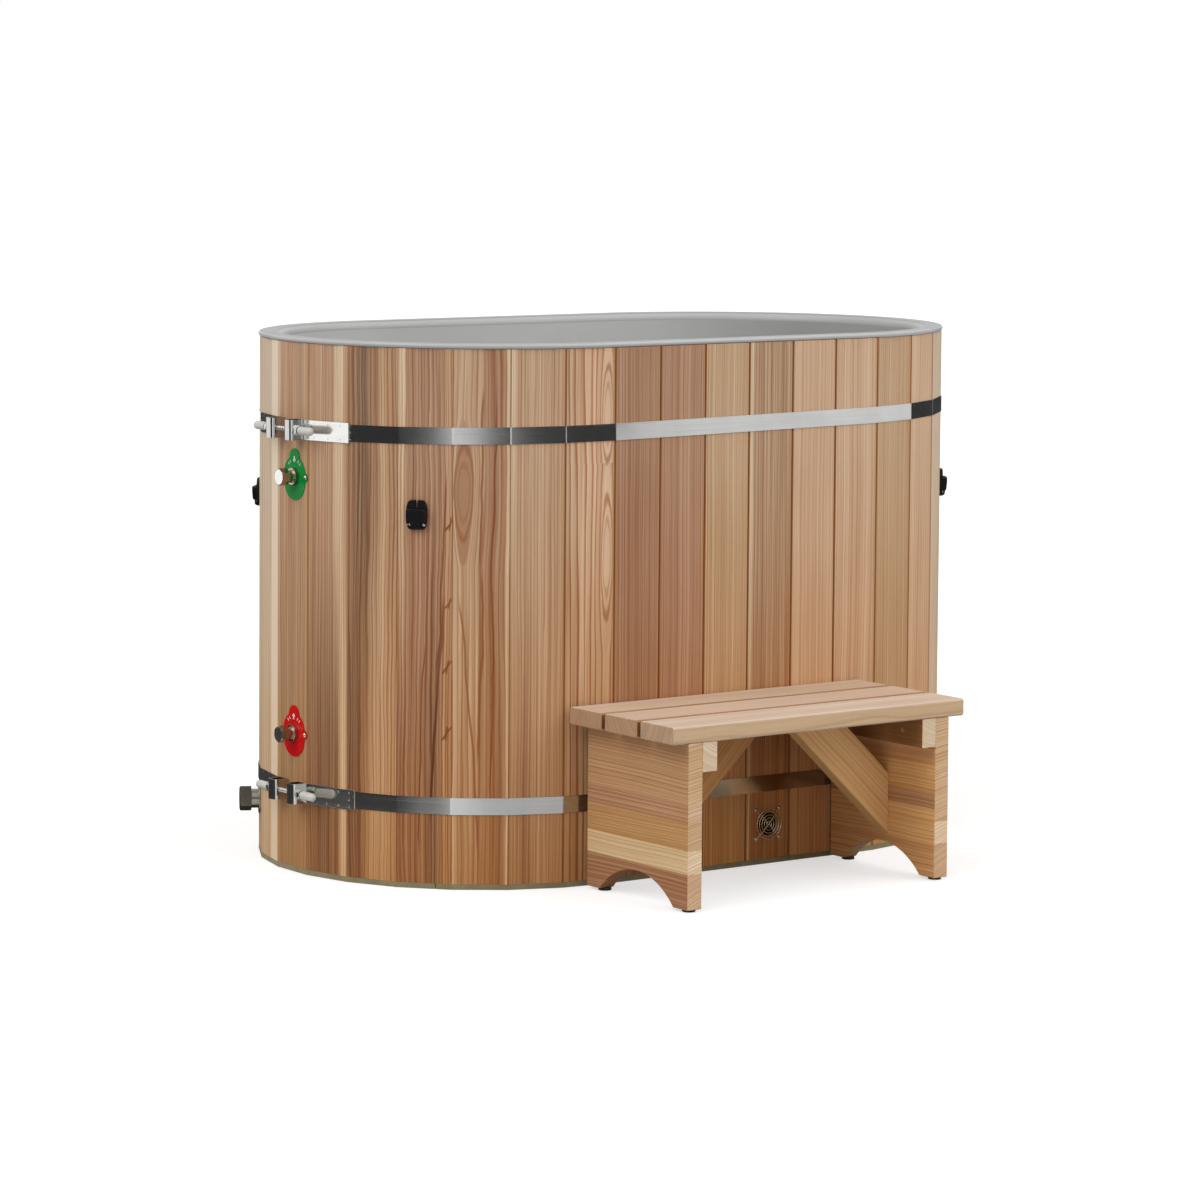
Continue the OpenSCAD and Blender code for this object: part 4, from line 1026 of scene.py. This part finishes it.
@growing_tree(Bend_Radius=0.018, Height=0.028, Thickness=0.001)
def bent_strap(n, line, bend_radius, height, thickness, finish):
    """A steel strap swept along a line of joints, bent with a small radius at each of them."""
    bend = n.make("GeometryNodeFilletCurve", {"mode": "POLY"}, Curve=n.make("GeometryNodeMeshToCurve", Mesh=line),
                  Radius=bend_radius, Count=3)
    section = n.make("GeometryNodeCurvePrimitiveQuadrilateral", Width=thickness, Height=height)
    upright = n.make("GeometryNodeSetCurveNormal", {"mode": "Z_UP"}, Curve=bend)
    return closed(n, swept(n, upright, section), finish)


@growing_tree(Radius=0.0016, Height=0.00012)
def spot_welds(n, points, radius, height, finish):
    """Shallow spot welds, one at each point."""
    dot = moved(n, ball(n, 16, 8), size=n.join(radius, height, radius))
    return closed(n, on_points(n, points, dot), finish)


def shifted(frame_matrix, x=0.0, y=0.0, z=0.0, turn=0.0):
    return frame_matrix @ Matrix.Translation((x, y, z)) @ turned(turn, "Y")


def clip_place(arc):
    """A cover clip's frame, kept off the joints at its stave's edges."""
    edge = (PITCH - CLIP_W) / 2 - 0.004
    return at_face(stave_of(arc), min(edge, max(-edge, shift_on(arc))), CLIP_Z)


CLIPS = [clip_place(arc) for arc in (-CLIP_ARC, CLIP_ARC, OUTLINE_LEN / 2 - CLIP_ARC, OUTLINE_LEN / 2 + CLIP_ARC)]
for node, lift, places in (
        ("plate_screws", 0.0016,
         [shifted(m, PLATE_SCREW_X * k, turn=0.4 * k) for m in (AT_INLET, AT_OUTLET) for k in SIDES]),
        ("clip_screws", 0.00555,
         [shifted(m, CLIP_SCREW_X * k, 0, CLIP_SCREW_Z, 0.3 + 0.5 * k) for m in CLIPS for k in SIDES]),
        ("vent_screws", 0.0017,
         [shifted(AT_VENT, VENT_SCREW_X * a, 0, VENT_SCREW_X * b, 0.3 * a + 0.2 * b) for a in SIDES for b in SIDES])):
    stand_in(grown(seeds(node + "_set", places), cross_screws, "bolt_steel", 30, Lift=lift), node)
rods = seeds("clamp_rods_threaded", [shifted(m, y=-ROD_OFF) for m in (UPPER_CLAMP, LOWER_CLAMP)])
stand_in(grown(rods, threaded_rods, "bolt_steel", 50, Length=ROD_LEN, Diameter=ROD_D), "clamp_rods")
stand_in(grown(seeds("vent_guard_wires", [AT_VENT]), wire_guard, "guard_wire", 60), "vent_guard")


# Cover clips and plates
def prism(bm, outline_points, near, far, taper=None):
    """Adds a closed prism between two depths in front of a face; taper may move the far points."""
    rings = [[bm.verts.new((x, -depth, z)) for x, z in outline_points] for depth in (near, far)]
    if taper:
        for v in rings[1]:
            v.co = taper(v.co)
    count = len(outline_points)
    bm.faces.new(rings[0])
    bm.faces.new(rings[1][::-1])
    for k in range(count):
        j = (k + 1) % count
        bm.faces.new((rings[0][j], rings[0][k], rings[1][k], rings[1][j]))


def made_piece(name, finish, *prisms):
    bm = bmesh.new()
    for values in prisms:
        prism(bm, *values)
    bmesh.ops.recalc_face_normals(bm, faces=bm.faces)
    return new_piece(name, bm, finish)


def mirrored(half, between=()):
    """A closed outline from its right half, which starts on the middle line."""
    return [*half, *between, *[(-x, z) for x, z in half[:0:-1]]]


def round_outline(radius, x, z, sides=20):
    turns = [2 * pi * k / sides for k in range(sides)]
    return [(x + radius * cos(turn), z + radius * sin(turn)) for turn in turns]


def cover_clips():
    """Moulded sockets: a slotted back plate and a deeper pocket below it that a strap's clip drops into."""
    half = [(0.0, -0.0245), (0.0105, -0.0243), (0.0140, -0.0225), (0.0158, -0.0190), (0.0172, -0.0120), (0.0180, 0.0),
            (0.0176, 0.0090), (0.0164, 0.0160), (0.0148, 0.0205), (0.0125, 0.0235), (0.0095, 0.0245), (0.0017, 0.0245)]
    slot = [(0.0017, 0.0125), (-0.0017, 0.0125)]
    low = [(x, z) for x, z in half if z < 0.009] + [(0.0176, 0.0085), (0.0160, 0.0100)]

    def leaning(c):
        return Vector((c.x * 0.90, c.y + 0.0045 * max(0.0, (-c.z - 0.010) / 0.0145), c.z * 0.94 + 0.0005))

    body = made_piece("clip_body", "clip_plastic", (mirrored(low), 0.0060, 0.0145, leaning))
    soften(body, 0.0014, 3)
    finished(body)
    hollow = [(-0.012, -0.0055), (0.012, -0.0055), (0.012, 0.03), (-0.012, 0.03)]
    cuts = [made_piece("clip_hollow", "clip_plastic", (hollow, 0.0070, 0.0112))]
    cuts += [made_piece("clip_recess", "clip_plastic", (
        round_outline(0.0045, CLIP_SCREW_X * k, CLIP_SCREW_Z), 0.0055, 0.020)) for k in SIDES]
    for cut in cuts:
        step = body.modifiers.new("carve", "BOOLEAN")
        step.object, step.solver = cut, "EXACT"
    finished(body)
    back = made_piece("clip_back", "clip_plastic", (mirrored(half, slot), 0.0003, 0.0065))
    soften(back, 0.0009)
    finished(back)
    whole = bmesh.new()
    for place in CLIPS:
        for part in (back, body):
            copy = part.data.copy()
            copy.transform(place)
            whole.from_mesh(copy)
            bpy.data.meshes.remove(copy)
    for part in (back, body, *cuts):
        bpy.data.objects.remove(part)
    stand_in(finished(new_piece("cover_clips_moulded", whole, "clip_plastic")), "cover_clips")


def port_arrows():
    """Plain painted arrows on the port plates, into the tub above and out of it below, and a mark either side."""
    for node, place, way in (("inlet_plate", AT_INLET, -1), ("outlet_plate", AT_OUTLET, 1)):
        head = [(0.0, 0.0052), (0.0050, -0.0002), (0.0018, -0.0002), (0.0018, -0.0052),
                (-0.0018, -0.0052), (-0.0018, -0.0002), (-0.0050, -0.0002)]
        shapes = [[(x, way * z + 0.0285) for x, z in head]]
        for turn in (-40, -27, 27, 40):
            c, s = cos(radians(turn)), sin(radians(turn))
            shapes.append([(w * c + (0.0275 + h) * s, (0.0275 + h) * c - w * s)
                           for w, h in ((-0.0008, -0.0026), (0.0008, -0.0026), (0.0008, 0.0026), (-0.0008, 0.0026))])
        piece = made_piece(node + "_arrow", "mark_paint", *[(shape, 0.0014, 0.00172) for shape in shapes])
        piece.data.transform(place)
        ride_as(finished(piece), node)


cover_clips()
port_arrows()


def strap(node, frame_matrix, shift):
    """The band's run from one lug to the other, past every stave joint."""
    def at_lug(side):
        return face_mid(END_STAVE) + along(END_STAVE) * (shift + side * LUG_EDGE) + out(END_STAVE) * BAND_OFF
    points = [at_lug(1)]
    for i in range(END_STAVE + 1, END_STAVE + STAVES + 1):
        mitre = (out(i - 1) + out(i)) / (1 + out(i - 1).dot(out(i)))
        points.append(JOINTS[i % STAVES] + mitre * BAND_OFF)
    points.append(at_lug(-1))
    edges = [(k, k + 1) for k in range(len(points) - 1)]
    holder = placed_mesh(node + "_strap", [frame_matrix @ p for p in points], edges)
    stand_in(grown(holder, bent_strap, "band_steel", 35, False), node)


def lugs(node, clamp, band_frame):
    """The looped lugs: polished loops on matt plates that are spot welded to the band."""
    bm = mesh_of(node)
    inverse = clamp.inverted()
    for face in bm.faces:
        face.material_index = int(abs((inverse @ face.calc_center_median()).x) > LUG_LOOP_END)
    piece = new_piece(node + "_formed", bm, "lug_steel", "plate_steel")
    soften(piece, 0.0003)
    stand_in(finished(piece), node)
    column = (-0.0115, 0.0115)
    spots = [(side, step, u, z) for side in (1, -1)
             for step, u, levels in ((1, -0.030, column), (1, 0.002, column), (1, 0.030, column),
                                     (2, -0.042, (-0.0115, 0.0, 0.0115)))
             for z in levels]
    places = [band_frame @ at_face(END_STAVE + side * step, side * u) @ Matrix.Translation((0, -LUG_FACE, z))
              for side, step, u, z in spots]
    ride_as(grown(seeds(node + "_welds", places), spot_welds, "plate_steel"), node)


strap("upper_band", UPPER_FRAME, UPPER_SHIFT)
strap("lower_band", LOWER_FRAME, LOWER_SHIFT)
lugs("upper_lugs", UPPER_CLAMP, UPPER_FRAME)
lugs("lower_lugs", LOWER_CLAMP, LOWER_FRAME)


def rim_zone(face):
    """0 for the tub's wall, 1 for the bend into it, 2 for the rim's top, 3 for its outer edge: each of the last three
    gets its own painted shade.
    """
    middle, way = face.calc_center_median(), face.normal
    if middle.z < RIM_TOP - RIM_DEPTH:
        return 0
    if way.z > 0.92:
        return 2
    return 3 if way.to_2d().dot(middle.to_2d()) > 0 else int(way.z > 0.05)


# The caps' sides and the whole pipes are painted a dark brown shade and reflection; only each cap's outer face keeps
# the chrome.
for port, place in (("inlet", AT_INLET), ("outlet", AT_OUTLET)):
    outward = -place.col[1].to_3d().normalized()
    shaped(port + "_cap", ("port_sides", "port_chrome"), 0.0005, lambda face: face.normal.dot(outward) > 0.9)
    shaped(port + "_pipe", ("port_sides",), 0.0004)
# Only the drain cap's faces that look down keep the bronze; the others get a near-black painted shade.
shaped("drain_cap", ("drain_sides", "drain_bronze"), 0.0006, lambda face: face.normal.z < -0.3)
# The rim's zones get painted shade.
shaped("liner", ("liner_plastic", "liner_bend", "liner_lip", "liner_edge"), 0, rim_zone)

# Everything else keeps the node's shape, with rounded edges
for finish, widths in (
        ("foam", {"foam_wrap": 0.001}), ("base_plastic", {"base_plate": 0.001}),
        ("sill_plastic", {"sill_strip": 0.0006}), ("vinyl", {"rod_caps": 0.0003}),
        ("green_enamel", {"inlet_plate": 0.0002}), ("red_enamel", {"outlet_plate": 0.0002}),
        ("seal_rubber", {"inlet_seal": 0.0002, "outlet_seal": 0.0002, "drain_seal": 0.0002}),
        ("fitting_plastic", {"return_jet": 0.001, "suction_strainer": 0.0004}),
        ("drain_bronze", {"drain_flange": 0.0003, "drain_pipe": 0.0004}),
        ("fitting_plastic", {"drain_elbow": 0.0005, "floor_drain": 0.0004}), ("pad_rubber", {"step_pads": 0.0006}),
        ("bolt_steel", {"step_screws": 0.0001,
                        **{node: 0.0003 for node in frame["nodes"] if "_washer_" in node or "_nut_" in node}})):
    for node, width in widths.items():
        shaped(node, (finish,), width)


# Floor, backdrop and light
def staged(name, points, faces, surface):
    """A piece of the studio, with the shader that surface() puts into its material."""
    piece = placed_mesh(name, points, faces=faces)
    made = bpy.data.materials.new(name)
    made.use_nodes = True
    made.node_tree.nodes.clear()
    n = Nodes(made.node_tree)
    n.fill(n.add("ShaderNodeOutputMaterial"), Surface=surface(n))
    piece.data.materials.append(made)
    return piece


def reflected_only(name, points, faces, colour, level):
    """A glowing card that no ray but a reflection sees."""
    card = staged(name, points, faces, lambda n: n.make("ShaderNodeEmission", Color=colour, Strength=level))
    card.visible_camera = card.visible_diffuse = card.visible_shadow = False
    card.visible_transmission = card.visible_volume_scatter = False


def level_card(x0, x1, y0, y1, z):
    return [(x0, y0, z), (x1, y0, z), (x1, y1, z), (x0, y1, z)], [(0, 1, 2, 3)]


def seen(n):
    """1 for what is looked at, straight or in a reflection, and 0 for the light that falls on things."""
    path = n.add("ShaderNodeLightPath")
    camera, glossy, through = (n.value(path, f"Is {kind} Ray") for kind in ("Camera", "Glossy", "Transmission"))
    return n.math("MAXIMUM", camera, n.math("MAXIMUM", glossy, through))


def floor_surface(n):
    diffuse = n.make("ShaderNodeBsdfDiffuse", Color=(0.50, 0.50, 0.50, 1))
    glow = n.make("ShaderNodeEmission", Strength=seen(n) * 0.60)
    return n.in_order(n.add("ShaderNodeAddShader"), diffuse, glow)


# Dark flags that only the metal's reflections see, as between the soft boxes of a studio: arcs that stand, from one
# azimuth to another, and sectors that lie on the floor, with their radii and how bright they are
DARK, FAR = 0.05, 6.0
STANDING = ((-30, -9), (-3, 14), (26, 37), (62, 104), (-98, -76), (163, 190), (-124, -102))
LYING = ((66, 104, 1.1, FAR, DARK), (61, 66, 1.1, 3.0, 0.3), (60, 66, 3.0, FAR, DARK), (104, 190, 0.6, 4.4, DARK),
         (-98, -76, 2.2, FAR, DARK), (-124, -102, 2.2, FAR, DARK), (-30, -9, 2.2, FAR, DARK), (-3, 14, 2.2, FAR, DARK),
         (26, 37, 2.2, FAR, DARK), (10, 45, 0.9, 2.2, 0.78))
FLAG_H, FLAG_Z, CARD_Z, FLOOR_Z, FLOOR_HALF = 2.6, 0.0003, 0.0004, -0.0006, 60


def studio():
    scene = bpy.context.scene
    scene.view_settings.view_transform = "Standard"
    staged("studio_floor", *level_card(-FLOOR_HALF, FLOOR_HALF, -FLOOR_HALF, FLOOR_HALF, FLOOR_Z), floor_surface)

    scene.world = bpy.data.worlds.new("studio")
    scene.world.use_nodes = True
    n = Nodes(scene.world.node_tree)
    background = scene.world.node_tree.nodes["Background"]
    n.fill(background, Color=(1, 1, 1, 1), Strength=seen(n) * 0.44 + 0.56)

    flags = [(start, end, FAR, FAR, FLAG_H, DARK) for start, end in STANDING]
    flags += [(start, end, near, far, 0.0, level) for start, end, near, far, level in LYING]
    for k, (start, end, near, far, high, level) in enumerate(flags):
        steps = max(2, int((end - start) / 3))
        turns = [radians(start + (end - start) * j / steps) for j in range(steps + 1)]
        rows = ((near, FLAG_Z), (far, high + FLAG_Z))
        points = [(-sin(a) * r, -cos(a) * r, z) for r, z in rows for a in turns]
        faces = [(j, j + 1, j + steps + 2, j + steps + 1) for j in range(steps)]
        reflected_only(f"studio_flag_{k}", points, faces, (1, 1, 1, 1), level)
    # The dark side of the step, as the lower band mirrors it
    reflected_only("studio_step_card", *level_card(-0.35, 0.75, -1.30, -0.39, CARD_Z), (0.16, 0.11, 0.05, 1), 1.0)

    for name, azimuth, height, strength, spread in (("key", -85, 45, 1.44, 50), ("fill", 42, 45, 1.34, 60)):
        lamp = bpy.data.lights.new(name, "SUN")
        lamp.energy, lamp.angle = strength, radians(spread)
        placed(name, lamp).rotation_euler = (radians(90 - height), 0, radians(azimuth))


studio()
